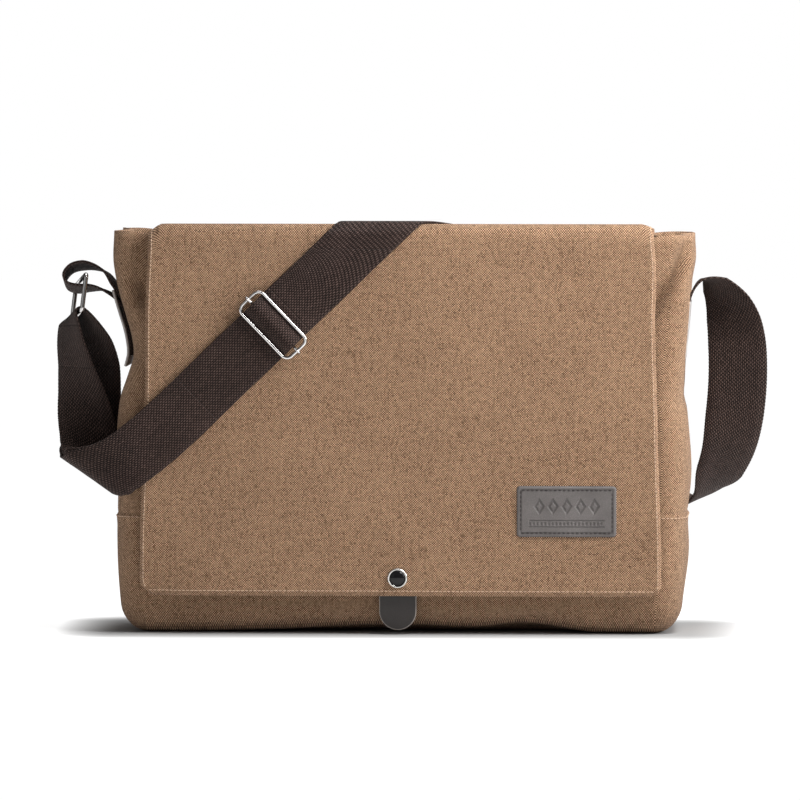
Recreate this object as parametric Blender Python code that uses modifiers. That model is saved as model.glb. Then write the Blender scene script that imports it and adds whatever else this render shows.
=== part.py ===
"""Canvas messenger bag with a drop-front flap, a webbing strap and wire hardware.

The origin is on the floor under the middle of the bag's body. +Z is up, +X is along the bag's width
and the front, with the flap, faces -Y. Lengths in the tables are millimetres, times MM.
"""

import math

import bmesh
import bpy
from mathutils import Matrix, Vector

MM = 0.001

# ---------------------------------------------------------------- driving dimensions, millimetres
BAG_DEPTH = 90.0
RIM_HEIGHT = 256.0
RIM_HALF_WIDTH = 187.5
SEAM_HEIGHT = 77.0
SEAM_HALF_WIDTH = 180.5
CORNER_RADIUS = 18.0
CANVAS = 1.6
LINER = 0.8
CLEARANCE = 0.3
OVERCUT = 5.0
BOARD_HALF_LENGTH = 158.0
BOARD_THICK = 2.5
FACING_DEPTH = 30.0

FLAP_TOP_HALF_WIDTH = 162.0
FLAP_HEM_HALF_WIDTH = 167.0
FLAP_HEM_HEIGHT = 25.0
FLAP_FACE = -53.2
FLAP_ROOF = 259.5
FLAP_LINING = 1.0
FLAP_REAR = 45.0
FLAP_BROW = -48.8
HINGE_REAR = (46.2, 257.3)
HINGE_BROW = (-51.2, 257.3)

SNAP_X, SNAP_Z = -2.0, 36.5
POST_RADIUS = 2.3
SHANK_RADIUS = 1.5

PATCH_CENTRE = (106.0, 79.5)
PATCH_SIZE = (64.0, 33.0)

WEB_WIDTH = 38.0
WEB_THICK = 1.5
LOOP_LAP = 3.0
LEATHER = 1.6

RING_TOP = Vector((-209.1, -2.4, 224.9))
RING_AXIS = Vector((-0.235, 0.95, -0.2)).normalized()
RING_DOWN = Vector((-0.187, -0.246, -0.951))
RING_WIRE = 1.5
RING_WIDTH, RING_DROP, RING_CORNER = 45.0, 24.0, 2.5

SLIDER_CENTRE = Vector((-81.3, -58.6, 198.4))
ALONG_STRAP = Vector((0.72, 0.0, 0.694)).normalized()
ACROSS_STRAP = Vector((0.694, 0.0, -0.72)).normalized()
OUTWARD = Vector((0.0, -1.0, 0.0))
SLIDER_WIRE = 1.1
SLIDER_LENGTH, SLIDER_HEIGHT = 45.3, 18.8

# ---------------------------------------------------------------- the strap's route
# Each station is a point on the middle of the webbing, then the direction of the line across it.
RING_SIDE = (0.235, -0.95, 0.2)
LOOP_SIDE = (0.05, -0.98, 0.18)
FACE_ON = (0.694, 0.0, -0.72)
RIGHT_RUN = [
    ((186.0, 0, 190), (0, -1, 0)),
    ((187.0, 0, 212), (0, -1, 0)),
    ((190.5, 0, 221.5), (0, -1, 0)),
    ((196.0, 0.5, 227.0), (0.05, -1, 0.04)),
    ((202.4, 2, 222.2), (0.4, -0.88, 0.25)),
    ((209.2, 4.5, 212.0), (0.7, -0.65, 0.18)),
    ((212.5, 7, 199.5), (0.92, -0.38, 0.06)),
    ((214.0, 10.5, 182.0), (1, -0.12, 0)),
    ((214.2, 15, 160.0), (1, 0, 0)),
    ((212.3, 21.5, 138.0), (0.97, 0.12, -0.08)),
    ((208.5, 31, 116.0), (0.86, 0.45, -0.15)),
    ((202.0, 43, 99.5), (0.62, 0.7, -0.3)),
    ((195.0, 58.5, 86.5), (0.45, 0.88, 0.05)),
    ((182.5, 67.5, 78.5), (0.25, 0.95, 0.1)),
]
BACK_RUN = [
    ((171.0, 68, 83.0), (0.25, 0.95, 0.2)),
    ((164.5, 64.5, 96.0), (0.6, 0.7, 0.4)),
    ((160.0, 59.0, 114.0), (0.84, 0.35, 0.4)),
    ((154.5, 53.8, 138.0), (0.93, 0.1, 0.35)),
    ((147.0, 50.2, 165.0), (0.93, 0, 0.37)),
    ((136.0, 49.2, 192.0), (0.9, 0, 0.44)),
    ((121.5, 49.2, 219.0), (0.83, 0, 0.56)),
]
# Over the flap the webbing runs straight on the unrolled surface. These are distances up from the
# slider's middle. Its cross lines turn from square to the strap, 0, to parallel to the folds, 1.
BACK_STRAIGHT = [(262, 0.6), (250, 1)]
TOP_STRAIGHT = [(240, 1), (237, 1), (234, 1), (231, 1), (228, 1), (161, 1), (95, 1), (92, 1)]
FRONT_STRAIGHT = [(88.5, 1), (85, 1), (81.5, 1), (70, 1), (45, 0.5), (24, 0)]
# The loop at the lower left. The inner layer lies on the flap, and the outer one is laid over it.
LOWER_LOOP = [
    ((-146.0, -54.3, 136.0), FACE_ON),
    ((-163.0, -54.6, 121.2), (0.71, 0, -0.7)),
    ((-177.5, -54.4, 110.6), (0.74, -0.02, -0.67)),
    ((-188.5, -51.0, 105.5), (0.78, -0.05, -0.62)),
    ((-197.5, -46.5, 103.8), (0.8, -0.05, -0.6)),
    ((-201.5, -38.0, 104.5), (0.83, -0.05, -0.55)),
    ((-202.5, -28.0, 107.5), (0.87, -0.06, -0.48)),
    ((-203.0, -18.5, 113.0), (0.91, -0.1, -0.4)),
]
OUTER_RISE = [
    ((-201.5, -4.5, 120.0), (0.92, -0.14, -0.36)),
    ((-200.8, 3.5, 136.0), (0.72, -0.66, -0.15)),
    ((-200.3, 6.5, 152.0), (0.45, -0.89, 0)),
    ((-200.3, 4.5, 170.0), (0.42, -0.9, 0)),
    ((-202.0, -1.5, 186.0), (0.35, -0.93, 0)),
    ((-205.5, -6.5, 196.5), (0.3, -0.94, 0.1)),
]
RING_PASS = [
    ((-210.1, -8.6, 202.9), RING_SIDE),
    ((-213.5, -8.9, 204.9), RING_SIDE),
    ((-216.9, -9.0, 202.9), RING_SIDE),
]
INNER_RISE = [
    ((-217.4, -9, 196.5), (0.4, -0.9, 0.1)),
    ((-215.0, -8, 184.0), (0.55, -0.83, 0)),
    ((-211.8, -7, 169.0), (0.68, -0.73, 0)),
    ((-208.2, -7, 152.0), (0.85, -0.52, 0)),
    ((-205.4, -8.5, 136.0), (0.97, -0.23, -0.07)),
    ((-203.6, -12.0, 122.5), (0.94, -0.15, -0.3)),
]
LEFT_LOOP = [
    ((-186.0, 0, 190.0), (0, -1, 0)),
    ((-187.1, 0, 212.0), (0, -1, 0)),
    ((-189.0, 0, 223.0), (0, -1, 0)),
    ((-193.0, -0.3, 229.5), (0.02, -1, 0.06)),
    ((-199.5, -1, 233.0), (0.04, -0.99, 0.12)),
    ((-207.4, -2.4, 234.3), LOOP_SIDE),
    ((-215.3, -3.4, 232.3), LOOP_SIDE),
    ((-219.8, -4.0, 226.5), LOOP_SIDE),
    ((-217.8, -4.0, 221.3), LOOP_SIDE),
    ((-211.0, -3.2, 219.3), LOOP_SIDE),
    ((-203.0, -2.0, 219.8), (0.04, -0.99, 0.14)),
    ((-195.5, -0.6, 219.0), (0.02, -1, 0.06)),
    ((-189.6, 0, 213.5), (0, -1, 0)),
    ((-188.2, 0, 200.0), (0, -1, 0)),
]
# The surface that the webbing is laid on: front plane, roof, back plane and the round folds between.
FRONT_PLANE, BACK_PLANE, ROOF_PLANE = -54.35, 49.2, 260.6
FOLD_RADIUS = 5.5
FOLD_START = ROOF_PLANE - FOLD_RADIUS
FOLD_LENGTH = FOLD_RADIUS * math.pi / 2
ROOF_LENGTH = BACK_PLANE - FRONT_PLANE - 2 * FOLD_RADIUS
# The webbing's height over the slider's plane, by the distance along the strap from its middle.
SLIDER_HUMP = [(14, -2.9), (9.4, -2.5), (6, 0.2), (3, 2.9), (0, 4.25), (-3, 2.9), (-6, 0.2), (-9.4, -2.5)]
BAR_TAIL = [(-16, -4.3), (-12, -4.3), (-8, -4.1), (-4.5, -3.0)]
BAR_WRAP_RADIUS = 2.15

# ---------------------------------------------------------------- scene and materials


def clear_scene():
    """Remove whatever the file opened with."""
    for found in list(bpy.data.objects):
        bpy.data.objects.remove(found, do_unlink=True)


def collection(name):
    """A new collection in the scene."""
    made = bpy.data.collections.new(name)
    bpy.context.scene.collection.children.link(made)
    return made


def material(name, colour, roughness, metallic=0.0):
    """A Principled material, by linear colour."""
    made = bpy.data.materials.new(name)
    made.use_nodes = True
    shader = made.node_tree.nodes["Principled BSDF"]
    shader.inputs["Base Color"].default_value = (*colour, 1.0)
    shader.inputs["Roughness"].default_value = roughness
    shader.inputs["Metallic"].default_value = metallic
    return made


clear_scene()
BAG = collection("messenger_bag")
CUTTERS = collection("cutters")
CANVAS_BROWN = material("canvas_brown", (0.25, 0.14, 0.085), 0.9)
LINING_DARK = material("lining_dark", (0.06, 0.045, 0.04), 0.85)
BOARD_GREY = material("board_grey", (0.2, 0.19, 0.17), 0.8)
LEATHER_GREY = material("leather_grey", (0.075, 0.066, 0.06), 0.5)
WEBBING_BROWN = material("webbing_brown", (0.045, 0.027, 0.024), 0.85)
WIRE_METAL = material("wire_metal", (0.42, 0.41, 0.42), 0.2, 1.0)
CAP_BLACK = material("cap_black", (0.012, 0.011, 0.012), 0.12)
SNAP_STEEL = material("snap_steel", (0.5, 0.48, 0.45), 0.3, 1.0)

# ---------------------------------------------------------------- modelling helpers


def side_x(height):
    """Half the width of the body at a height over its bottom corners."""
    slope = (RIM_HALF_WIDTH - SEAM_HALF_WIDTH) / (RIM_HEIGHT - SEAM_HEIGHT)
    return SEAM_HALF_WIDTH + slope * (height - SEAM_HEIGHT)


def add_object(name, data, slot, place=BAG):
    """Link an object with its material."""
    made = bpy.data.objects.new(name, data)
    data.materials.append(slot)
    place.objects.link(made)
    return made


def rounded(corners, steps=6):
    """An outline through (x, z, radius) corners, with an arc wherever the radius isn't nought."""
    points = []
    for i, (x, z, radius) in enumerate(corners):
        here = Vector((x, z))
        before = Vector(corners[i - 1][:2]) - here
        after = Vector(corners[(i + 1) % len(corners)][:2]) - here
        if radius == 0:
            points.append(here)
            continue
        half = before.angle(after) / 2
        reach = radius / math.tan(half)
        start = here + before.normalized() * reach
        middle = here + (before.normalized() + after.normalized()).normalized() * radius / math.sin(half)
        sweep = start - middle
        turn = math.pi - 2 * half
        side = 1 if before.x * after.y - before.y * after.x < 0 else -1
        for k in range(steps + 1):
            angle = side * turn * k / steps
            points.append(middle + Matrix.Rotation(angle, 2) @ sweep)
    return points


def slab(name, outline, y_front, y_back, slot, place=BAG):
    """A flat outline in X and Z, with its thickness along Y."""
    curve = bpy.data.curves.new(name, "CURVE")
    curve.dimensions = "2D"
    curve.fill_mode = "BOTH"
    curve.extrude = abs(y_back - y_front) / 2 * MM
    spline = curve.splines.new("POLY")
    spline.points.add(len(outline) - 1)
    for point, (x, z) in zip(spline.points, outline):
        point.co = (x * MM, z * MM, 0, 1)
    spline.use_cyclic_u = True
    made = add_object(name, curve, slot, place)
    made.rotation_euler.x = math.pi / 2
    made.location.y = (y_front + y_back) / 2 * MM
    return made


def as_mesh(source):
    """The same shape as a mesh with its caps welded, so that it can be cut or can cut."""
    bpy.context.view_layer.update()
    seen = source.evaluated_get(bpy.context.evaluated_depsgraph_get())
    mesh = bpy.data.meshes.new_from_object(seen)
    name, place, world = source.name, source.users_collection[0], source.matrix_world.copy()
    bpy.data.objects.remove(source, do_unlink=True)
    work = bmesh.new()
    work.from_mesh(mesh)
    bmesh.ops.remove_doubles(work, verts=work.verts, dist=1e-6)
    bmesh.ops.recalc_face_normals(work, faces=work.faces)
    work.to_mesh(mesh)
    work.free()
    made = bpy.data.objects.new(name, mesh)
    made.matrix_world = world
    place.objects.link(made)
    return made


def cut(target, cutter):
    """Take one solid out of another."""
    cutter.hide_render = True
    cutter.display_type = "WIRE"
    step = target.modifiers.new("cut_" + cutter.name, "BOOLEAN")
    step.operation = "DIFFERENCE"
    step.object = cutter


def drill(target, name, x, z, radius):
    """A round hole through a slab, along Y."""
    bpy.ops.mesh.primitive_cylinder_add(vertices=24, radius=radius * MM, depth=0.2)
    tool = bpy.context.object
    for used in list(tool.users_collection):
        used.objects.unlink(tool)
    CUTTERS.objects.link(tool)
    tool.name = name
    tool.rotation_euler.x = math.pi / 2
    tool.location = (x * MM, 0, z * MM)
    cut(target, tool)


def unroll(point, side):
    """A station behind the bag, carried to the plane of the front as if the surface were flat."""
    x, y, z = point
    reach = FOLD_START + 2 * FOLD_LENGTH + ROOF_LENGTH
    flat = (x, FRONT_PLANE + BACK_PLANE - y, reach + FOLD_START - z)
    return flat, (side[0], -side[1], -side[2])


def roll(flat):
    """A point of the unrolled surface, laid over the front, the roof and the back."""
    x, rise, run = flat.x, FRONT_PLANE - flat.y, flat.z - FOLD_START
    if run <= 0:
        return flat
    radius = FOLD_RADIUS + rise
    front, back = FRONT_PLANE + FOLD_RADIUS, BACK_PLANE - FOLD_RADIUS
    if run < FOLD_LENGTH:
        turn = run / FOLD_RADIUS
        return Vector((x, front - radius * math.cos(turn), FOLD_START + radius * math.sin(turn)))
    run -= FOLD_LENGTH
    if run < ROOF_LENGTH:
        return Vector((x, front + run, FOLD_START + radius))
    run -= ROOF_LENGTH
    if run < FOLD_LENGTH:
        turn = run / FOLD_RADIUS
        return Vector((x, back + radius * math.sin(turn), FOLD_START + radius * math.cos(turn)))
    return Vector((x, back + radius, FOLD_START - (run - FOLD_LENGTH)))


def smooth_route(route, spans):
    """Points and cross directions on the smooth curve through a route's stations."""
    points = [Vector(station[0]) for station in route]
    sides = [Vector(station[1]).normalized() for station in route]
    along = [0.0]
    for a, b in zip(points, points[1:]):
        along.append(along[-1] + (b - a).length)
    most = len(route) - 1
    slopes = []
    for i in range(len(route)):
        a, b = max(i - 1, 0), min(i + 1, most)
        slopes.append((points[b] - points[a]) / (along[b] - along[a]))
    found = []
    for i in range(most):
        span = along[i + 1] - along[i]
        for k in range(spans):
            t = k / spans
            point = points[i] * (1 - 3 * t**2 + 2 * t**3) + points[i + 1] * (3 * t**2 - 2 * t**3)
            point += slopes[i] * span * (t - 2 * t**2 + t**3) + slopes[i + 1] * span * (t**3 - t**2)
            side = sides[i].lerp(sides[i + 1], t).normalized()
            found.append((point, side))
    found.append((points[-1], sides[-1]))
    return found


def tangent(route, i):
    """The direction of a route at one of its points."""
    ahead = route[min(i + 1, len(route) - 1)][0]
    behind = route[max(i - 1, 0)][0]
    return (ahead - behind).normalized()


def ribbon(name, route, first, last, width, thickness, slot):
    """Webbing or leather: a strip along part of a sampled route, half its thickness on each side."""
    count = last - first
    work = bmesh.new()
    bmesh.ops.create_grid(work, x_segments=count, y_segments=2, size=1)
    for vertex in work.verts:
        row = first + round((vertex.co.x + 1) / 2 * count)
        point, side = route[row]
        along = tangent(route, row)
        side = side / along.cross(side).length
        trim = CLEARANCE if row == first else -CLEARANCE if row == last else 0.0
        vertex.co = roll(point + along * trim + side * vertex.co.y * width / 2) * MM
    mesh = bpy.data.meshes.new(name)
    work.to_mesh(mesh)
    work.free()
    made = add_object(name, mesh, slot)
    thick = made.modifiers.new("thickness", "SOLIDIFY")
    thick.thickness = thickness * MM
    thick.offset = 0
    return made


def offset_layer(route, distance):
    """The same strip moved off its own face, for webbing laid on webbing."""
    moved = []
    for i, (point, side) in enumerate(route):
        face = tangent(route, i).cross(side).normalized()
        moved.append((tuple(point + face * distance), tuple(side)))
    return moved


def wire(name, points, radius, centre, slot, closed=True):
    """A bent wire through points given from its own centre."""
    curve = bpy.data.curves.new(name, "CURVE")
    curve.dimensions = "3D"
    curve.bevel_depth = radius * MM
    curve.bevel_resolution = 2
    curve.use_fill_caps = True
    spline = curve.splines.new("POLY")
    spline.points.add(len(points) - 1)
    for point, place in zip(spline.points, points):
        point.co = (*(place * MM), 1)
    spline.use_cyclic_u = closed
    made = add_object(name, curve, slot)
    made.location = centre * MM
    return made


def turned(name, profile, x, y, z, slot, steps=24):
    """A round piece on an axis along -Y, from a (radius, height) profile that runs down its outside."""
    work = bmesh.new()
    rim = [work.verts.new((radius * MM, 0, height * MM)) for radius, height in profile]
    for a, b in zip(rim, rim[1:]):
        work.edges.new((a, b))
    mesh = bpy.data.meshes.new(name)
    work.to_mesh(mesh)
    work.free()
    made = add_object(name, mesh, slot)
    made.rotation_euler.x = math.pi / 2
    made.location = (x * MM, y * MM, z * MM)
    spin = made.modifiers.new("turn", "SCREW")
    spin.steps = spin.render_steps = steps
    spin.use_merge_vertices = True
    spin.merge_threshold = 0.00005
    return made


# ---------------------------------------------------------------- shell of the bag


def body_outline(inset, bottom, top):
    """The body seen from the front, drawn in by an inset, with round bottom corners."""
    radius = CORNER_RADIUS - inset
    return rounded(
        [
            (-side_x(bottom) + inset, bottom, radius),
            (side_x(bottom) - inset, bottom, radius),
            (side_x(top) - inset, top, 0),
            (-side_x(top) + inset, top, 0),
        ]
    )


def make_panels():
    """Front and back panels."""
    half = BAG_DEPTH / 2
    outline = body_outline(0, 0, RIM_HEIGHT)
    front = as_mesh(slab("front_panel", outline, -half, -half + CANVAS, CANVAS_BROWN))
    drill(front, "stud_hole", SNAP_X, SNAP_Z, SHANK_RADIUS + CLEARANCE)
    slab("back_panel", outline, half - CANVAS, half, CANVAS_BROWN)


def make_sides():
    """Gussets over the side seam, and the strip that goes down and under the bag."""
    half = BAG_DEPTH / 2 - CANVAS - CLEARANCE
    low = SEAM_HEIGHT + CLEARANCE
    for name, way in (("left_gusset", -1), ("right_gusset", 1)):
        outline = [
            (way * side_x(low), low),
            (way * side_x(RIM_HEIGHT), RIM_HEIGHT),
            (way * (side_x(RIM_HEIGHT) - CANVAS), RIM_HEIGHT),
            (way * (side_x(low) - CANVAS), low),
        ]
        slab(name, outline, -half, half, CANVAS_BROWN)
    outer = body_outline(0, 0, SEAM_HEIGHT)
    inner = body_outline(CANVAS, CANVAS, SEAM_HEIGHT)
    left_outer, left_inner = outer.pop(), inner.pop()
    slab("base_strip", [left_outer] + outer + inner[::-1] + [left_inner], -half, half, CANVAS_BROWN)


def tub(name, inset, wall, bottom, top, half_depth, slot):
    """A thin tub inside the body."""
    shell = as_mesh(slab(name, body_outline(inset, bottom, top), -half_depth, half_depth, slot))
    hollow = slab(
        name + "_hollow",
        body_outline(inset + wall, bottom + wall, top + OVERCUT),
        -half_depth + wall,
        half_depth - wall,
        slot,
        CUTTERS,
    )
    cut(shell, as_mesh(hollow))


def make_inside():
    """Lining, facing of the mouth, base board and the pocket on the back wall."""
    half = BAG_DEPTH / 2 - CANVAS - CLEARANCE
    low = CANVAS + CLEARANCE
    high = low + BOARD_THICK
    length = BOARD_HALF_LENGTH
    board = [(-length, low), (length, low), (length, high), (-length, high)]
    slab("base_board", board, -half + 1, half - 1, BOARD_GREY)
    facing_low = RIM_HEIGHT - FACING_DEPTH
    lining_half = half - 1.1
    tub(
        "lining",
        CANVAS + 0.6,
        LINER,
        high + CLEARANCE,
        facing_low - CLEARANCE,
        lining_half,
        LINING_DARK,
    )
    gap = CANVAS + CLEARANCE
    outline = [
        (-side_x(facing_low) + gap, facing_low),
        (side_x(facing_low) - gap, facing_low),
        (side_x(RIM_HEIGHT) - gap, RIM_HEIGHT),
        (-side_x(RIM_HEIGHT) + gap, RIM_HEIGHT),
    ]
    facing = as_mesh(slab("mouth_facing", outline, -half, half, CANVAS_BROWN))
    well_low, well_high = RIM_HALF_WIDTH - 12, RIM_HALF_WIDTH - 3.5
    well = [
        (-well_low, facing_low - OVERCUT),
        (well_low, facing_low - OVERCUT),
        (well_high, RIM_HEIGHT + OVERCUT),
        (-well_high, RIM_HEIGHT + OVERCUT),
    ]
    hollow = slab("facing_well", well, -half + CANVAS, half - CANVAS, LINING_DARK, CUTTERS)
    cut(facing, as_mesh(hollow))
    wall = lining_half - LINER
    pocket = rounded([(-95, 80, 8), (95, 80, 8), (95, 195, 0), (-95, 195, 0)], 3)
    slab("inner_pocket", pocket, wall - CLEARANCE - LINER, wall - CLEARANCE, LINING_DARK)


def make_front_pocket():
    """Slip pocket on the front panel, under the flap."""
    face = -BAG_DEPTH / 2 - CLEARANCE
    outline = rounded([(-128, 56, 10), (128, 56, 10), (128, 176, 0), (-128, 176, 0)], 3)
    slab("front_pocket", outline, face - 1.4, face, CANVAS_BROWN)


# ---------------------------------------------------------------- flap


def flap_outline(inset):
    """The hanging part of the flap, drawn in by an inset."""
    top = HINGE_BROW[1] - 1.0
    hem = FLAP_HEM_HEIGHT + inset
    return rounded(
        [
            (-FLAP_HEM_HALF_WIDTH + inset, hem, 6),
            (FLAP_HEM_HALF_WIDTH - inset, hem, 6),
            (FLAP_TOP_HALF_WIDTH - inset, top, 0),
            (-FLAP_TOP_HALF_WIDTH + inset, top, 0),
        ],
        3,
    )


def make_flap():
    """Roof and front of the flap, each canvas with a lining, and the strip sewn to the back."""
    for name, roof, thick, inset, slot in (
        ("flap_top_panel", FLAP_ROOF, CANVAS, 0, CANVAS_BROWN),
        ("flap_top_lining", FLAP_ROOF - CANVAS - CLEARANCE, FLAP_LINING, 2, LINING_DARK),
    ):
        width = FLAP_TOP_HALF_WIDTH - inset
        outline = [(-width, roof - thick), (width, roof - thick), (width, roof), (-width, roof)]
        slab(name, outline, FLAP_BROW, FLAP_REAR, slot)
    face = FLAP_FACE
    canvas = as_mesh(slab("flap_front_panel", flap_outline(0), face, face + CANVAS, CANVAS_BROWN))
    drill(canvas, "post_hole_canvas", SNAP_X, SNAP_Z, POST_RADIUS + CLEARANCE)
    face += CANVAS + CLEARANCE
    lining = as_mesh(slab("flap_front_lining", flap_outline(2), face, face + FLAP_LINING, LINING_DARK))
    drill(lining, "post_hole_lining", SNAP_X, SNAP_Z, POST_RADIUS + CLEARANCE)
    back = BAG_DEPTH / 2 + CLEARANCE
    high, low = RIM_HEIGHT - 2, RIM_HEIGHT - 28
    width = FLAP_TOP_HALF_WIDTH
    strip = [(-width, low), (width, low), (width, high), (-width, high)]
    slab("flap_back_strip", strip, back, back + CANVAS, CANVAS_BROWN)


def make_patch():
    """Leather patch on the flap."""
    x, z = PATCH_CENTRE
    w, h = PATCH_SIZE[0] / 2, PATCH_SIZE[1] / 2
    outline = rounded([(x - w, z - h, 3), (x + w, z - h, 3), (x + w, z + h, 3), (x - w, z + h, 3)], 3)
    back = FLAP_FACE - CLEARANCE
    slab("label_patch", outline, back - 1.5, back, LEATHER_GREY)


def make_snap():
    """Snap fastener: cap, dome, post and socket on the flap, stud and washer on the front panel."""
    face = FLAP_FACE - CLEARANCE
    cap = [(3.9, 1.4), (5.2, 2.2), (6.2, 1.9), (6.6, 0.9), (6.5, 0.0), (3.9, 0.0)]
    turned("snap_cap", cap + cap[:1], SNAP_X, face, SNAP_Z, SNAP_STEEL)
    dome = [(0, 2.7), (1.6, 2.55), (2.8, 2.1), (3.6, 1.3), (3.6, 0.0), (0, 0.0)]
    turned("snap_dome", dome, SNAP_X, face, SNAP_Z, CAP_BLACK)
    tab_front = FLAP_FACE + CANVAS + CLEARANCE + FLAP_LINING + CLEARANCE
    tab_back = tab_front + LEATHER
    foot = face - tab_back
    post = [(0, -CLEARANCE), (POST_RADIUS, -CLEARANCE), (POST_RADIUS, foot), (0, foot)]
    turned("snap_post", post, SNAP_X, face, SNAP_Z, SNAP_STEEL)
    lower, upper = 3.0, 46.0
    outline = rounded([(-14, lower, 12), (10, lower, 12), (10, upper, 4), (-14, upper, 4)], 6)
    tab = as_mesh(slab("snap_tab", outline, tab_front, tab_back, LEATHER_GREY))
    drill(tab, "post_hole_tab", SNAP_X, SNAP_Z, POST_RADIUS + CLEARANCE)
    socket_back = tab_back + CLEARANCE + 1.4
    socket = [(0, 1.4), (6.0, 1.4), (6.0, 0.0), (0, 0.0)]
    turned("snap_socket", socket, SNAP_X, socket_back, SNAP_Z, SNAP_STEEL)
    panel = -BAG_DEPTH / 2
    stud_front = socket_back + CLEARANCE
    stud_base = -stud_front + panel - CLEARANCE
    shank = -(CANVAS + CLEARANCE + 0.2)
    stud = [
        (0, stud_base),
        (5.6, stud_base),
        (5.6, 0.0),
        (SHANK_RADIUS, 0.0),
        (SHANK_RADIUS, shank),
        (0, shank),
    ]
    turned("snap_stud", stud, SNAP_X, panel - CLEARANCE, SNAP_Z, SNAP_STEEL)
    washer = [(SHANK_RADIUS + CLEARANCE, 0.6), (5.6, 0.6), (5.6, 0.0), (SHANK_RADIUS + CLEARANCE, 0.0)]
    turned("stud_washer", washer + washer[:1], SNAP_X, panel + CANVAS + CLEARANCE + 0.6, SNAP_Z, SNAP_STEEL)


# ---------------------------------------------------------------- hardware


def round_loop(across, down, length, height, corner, steps=4):
    """A rounded rectangle of points about its centre, length along one direction, height along the other."""
    a, b = length / 2, height / 2
    flat = rounded([(-a, -b, corner), (a, -b, corner), (a, b, corner), (-a, b, corner)], steps)
    return [across * x + down * z for x, z in flat]


def make_ring():
    """The rectangular ring. It hangs by its top bar, which is its own origin."""
    points = round_loop(RING_AXIS, RING_DOWN, RING_WIDTH, RING_DROP, RING_CORNER)
    hung = [point + RING_DOWN * RING_DROP / 2 for point in points]
    wire("left_ring", hung, RING_WIRE, RING_TOP, WIRE_METAL)


def make_slider():
    """Wire slider: a frame, and a centre bar whose ends hook round the frame's short sides."""
    frame = round_loop(ACROSS_STRAP, ALONG_STRAP, SLIDER_LENGTH, SLIDER_HEIGHT, 4.5)
    wire("slider_frame", frame, SLIDER_WIRE, SLIDER_CENTRE, WIRE_METAL)
    hook, bar = SLIDER_WIRE + 0.3 + 0.8, 0.8
    reach = SLIDER_LENGTH / 2
    points = []
    for way in (-1, 1):
        turns = [math.radians(200 - 20 * k) for k in range(11)]
        end = [
            ACROSS_STRAP * way * (reach + hook * math.sin(t)) + OUTWARD * hook * math.cos(t)
            for t in (turns if way < 0 else turns[::-1])
        ]
        inner = ACROSS_STRAP * way * (reach - 4.0)
        points += end + [inner] if way < 0 else [inner] + end
    wire("slider_bar", points, bar, SLIDER_CENTRE, WIRE_METAL, closed=False)


# ---------------------------------------------------------------- strap and its anchors


def on_slider(distance, height):
    """A point by its distance up the strap from the slider's middle and its height over the plane."""
    return SLIDER_CENTRE + ALONG_STRAP * distance + OUTWARD * height


def straight(distance, turn):
    """A station on the straight stretch over the flap, in the unrolled plane."""
    point = SLIDER_CENTRE + ALONG_STRAP * distance
    side = Vector(FACE_ON).lerp(Vector((1, 0, 0)), turn)
    return (point.x, FRONT_PLANE, point.z), tuple(side)


def make_strap():
    """The webbing in its runs, each a node on the body that carries it."""
    runs = [
        ("strap_right_run", [unroll(*station) for station in RIGHT_RUN]),
        ("strap_back_run", [unroll(*s) for s in BACK_RUN] + [straight(*s) for s in BACK_STRAIGHT]),
        ("strap_top_run", [straight(*station) for station in TOP_STRAIGHT]),
        ("strap_front_run", [straight(*station) for station in FRONT_STRAIGHT]),
        ("strap_slider_hump", [(on_slider(d, h), FACE_ON) for d, h in SLIDER_HUMP]),
        ("strap_lower_run", [(on_slider(d, -2.5), FACE_ON) for d in (-14, -40, -68)]),
        ("strap_outer_loop", offset_layer(smooth_route(LOWER_LOOP, 1), LOOP_LAP)),
        ("strap_outer_rise", OUTER_RISE),
        ("strap_ring_pass", RING_PASS),
        ("strap_inner_rise", INNER_RISE),
        ("strap_inner_loop", LOWER_LOOP[::-1]),
        ("strap_inner_run", [(on_slider(d, -4.3), FACE_ON) for d in (-68, -40)]),
        ("strap_bar_wrap", [(on_slider(d, h), FACE_ON) for d, h in BAR_TAIL] + bar_turn()),
    ]
    spans = 2
    route = smooth_route([station for _, run in runs for station in run], spans)
    first = 0
    for name, run in runs:
        last = min(first + spans * len(run), len(route) - 1)
        ribbon(name, route, first, last, WEB_WIDTH, WEB_THICK, WEBBING_BROWN)
        first = last


def bar_turn():
    """The end of the webbing, turned round the slider's centre bar."""
    turns = [math.radians(-90 + 40 * k) for k in range(7)]
    radius = BAR_WRAP_RADIUS
    return [(on_slider(radius * math.cos(t), radius * math.sin(t)), FACE_ON) for t in turns]


def hang(name, centre, pieces):
    """Parent the pieces of a moving body to an empty on its joint's axis."""
    bpy.context.view_layer.update()
    axis = bpy.data.objects.new(name, None)
    axis.empty_display_size = 10 * MM
    axis.location = centre * MM
    BAG.objects.link(axis)
    bpy.context.view_layer.update()
    for piece in pieces:
        found = bpy.data.objects[piece]
        found.parent = axis
        found.matrix_parent_inverse = axis.matrix_world.inverted()


def make_joints():
    """Empties on the axes of the two folds, the slider and the ring."""
    hang(
        "rear_fold",
        Vector((0, *HINGE_REAR)),
        ["flap_top_panel", "flap_top_lining"],
    )
    hang(
        "front_fold",
        Vector((0, *HINGE_BROW)),
        [
            "flap_front_panel",
            "flap_front_lining",
            "label_patch",
            "snap_cap",
            "snap_dome",
            "snap_post",
            "snap_socket",
            "snap_tab",
        ],
    )
    hang("slider_middle", SLIDER_CENTRE, ["slider_frame", "slider_bar"])
    hang("ring_top", RING_TOP, ["left_ring"])


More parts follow.
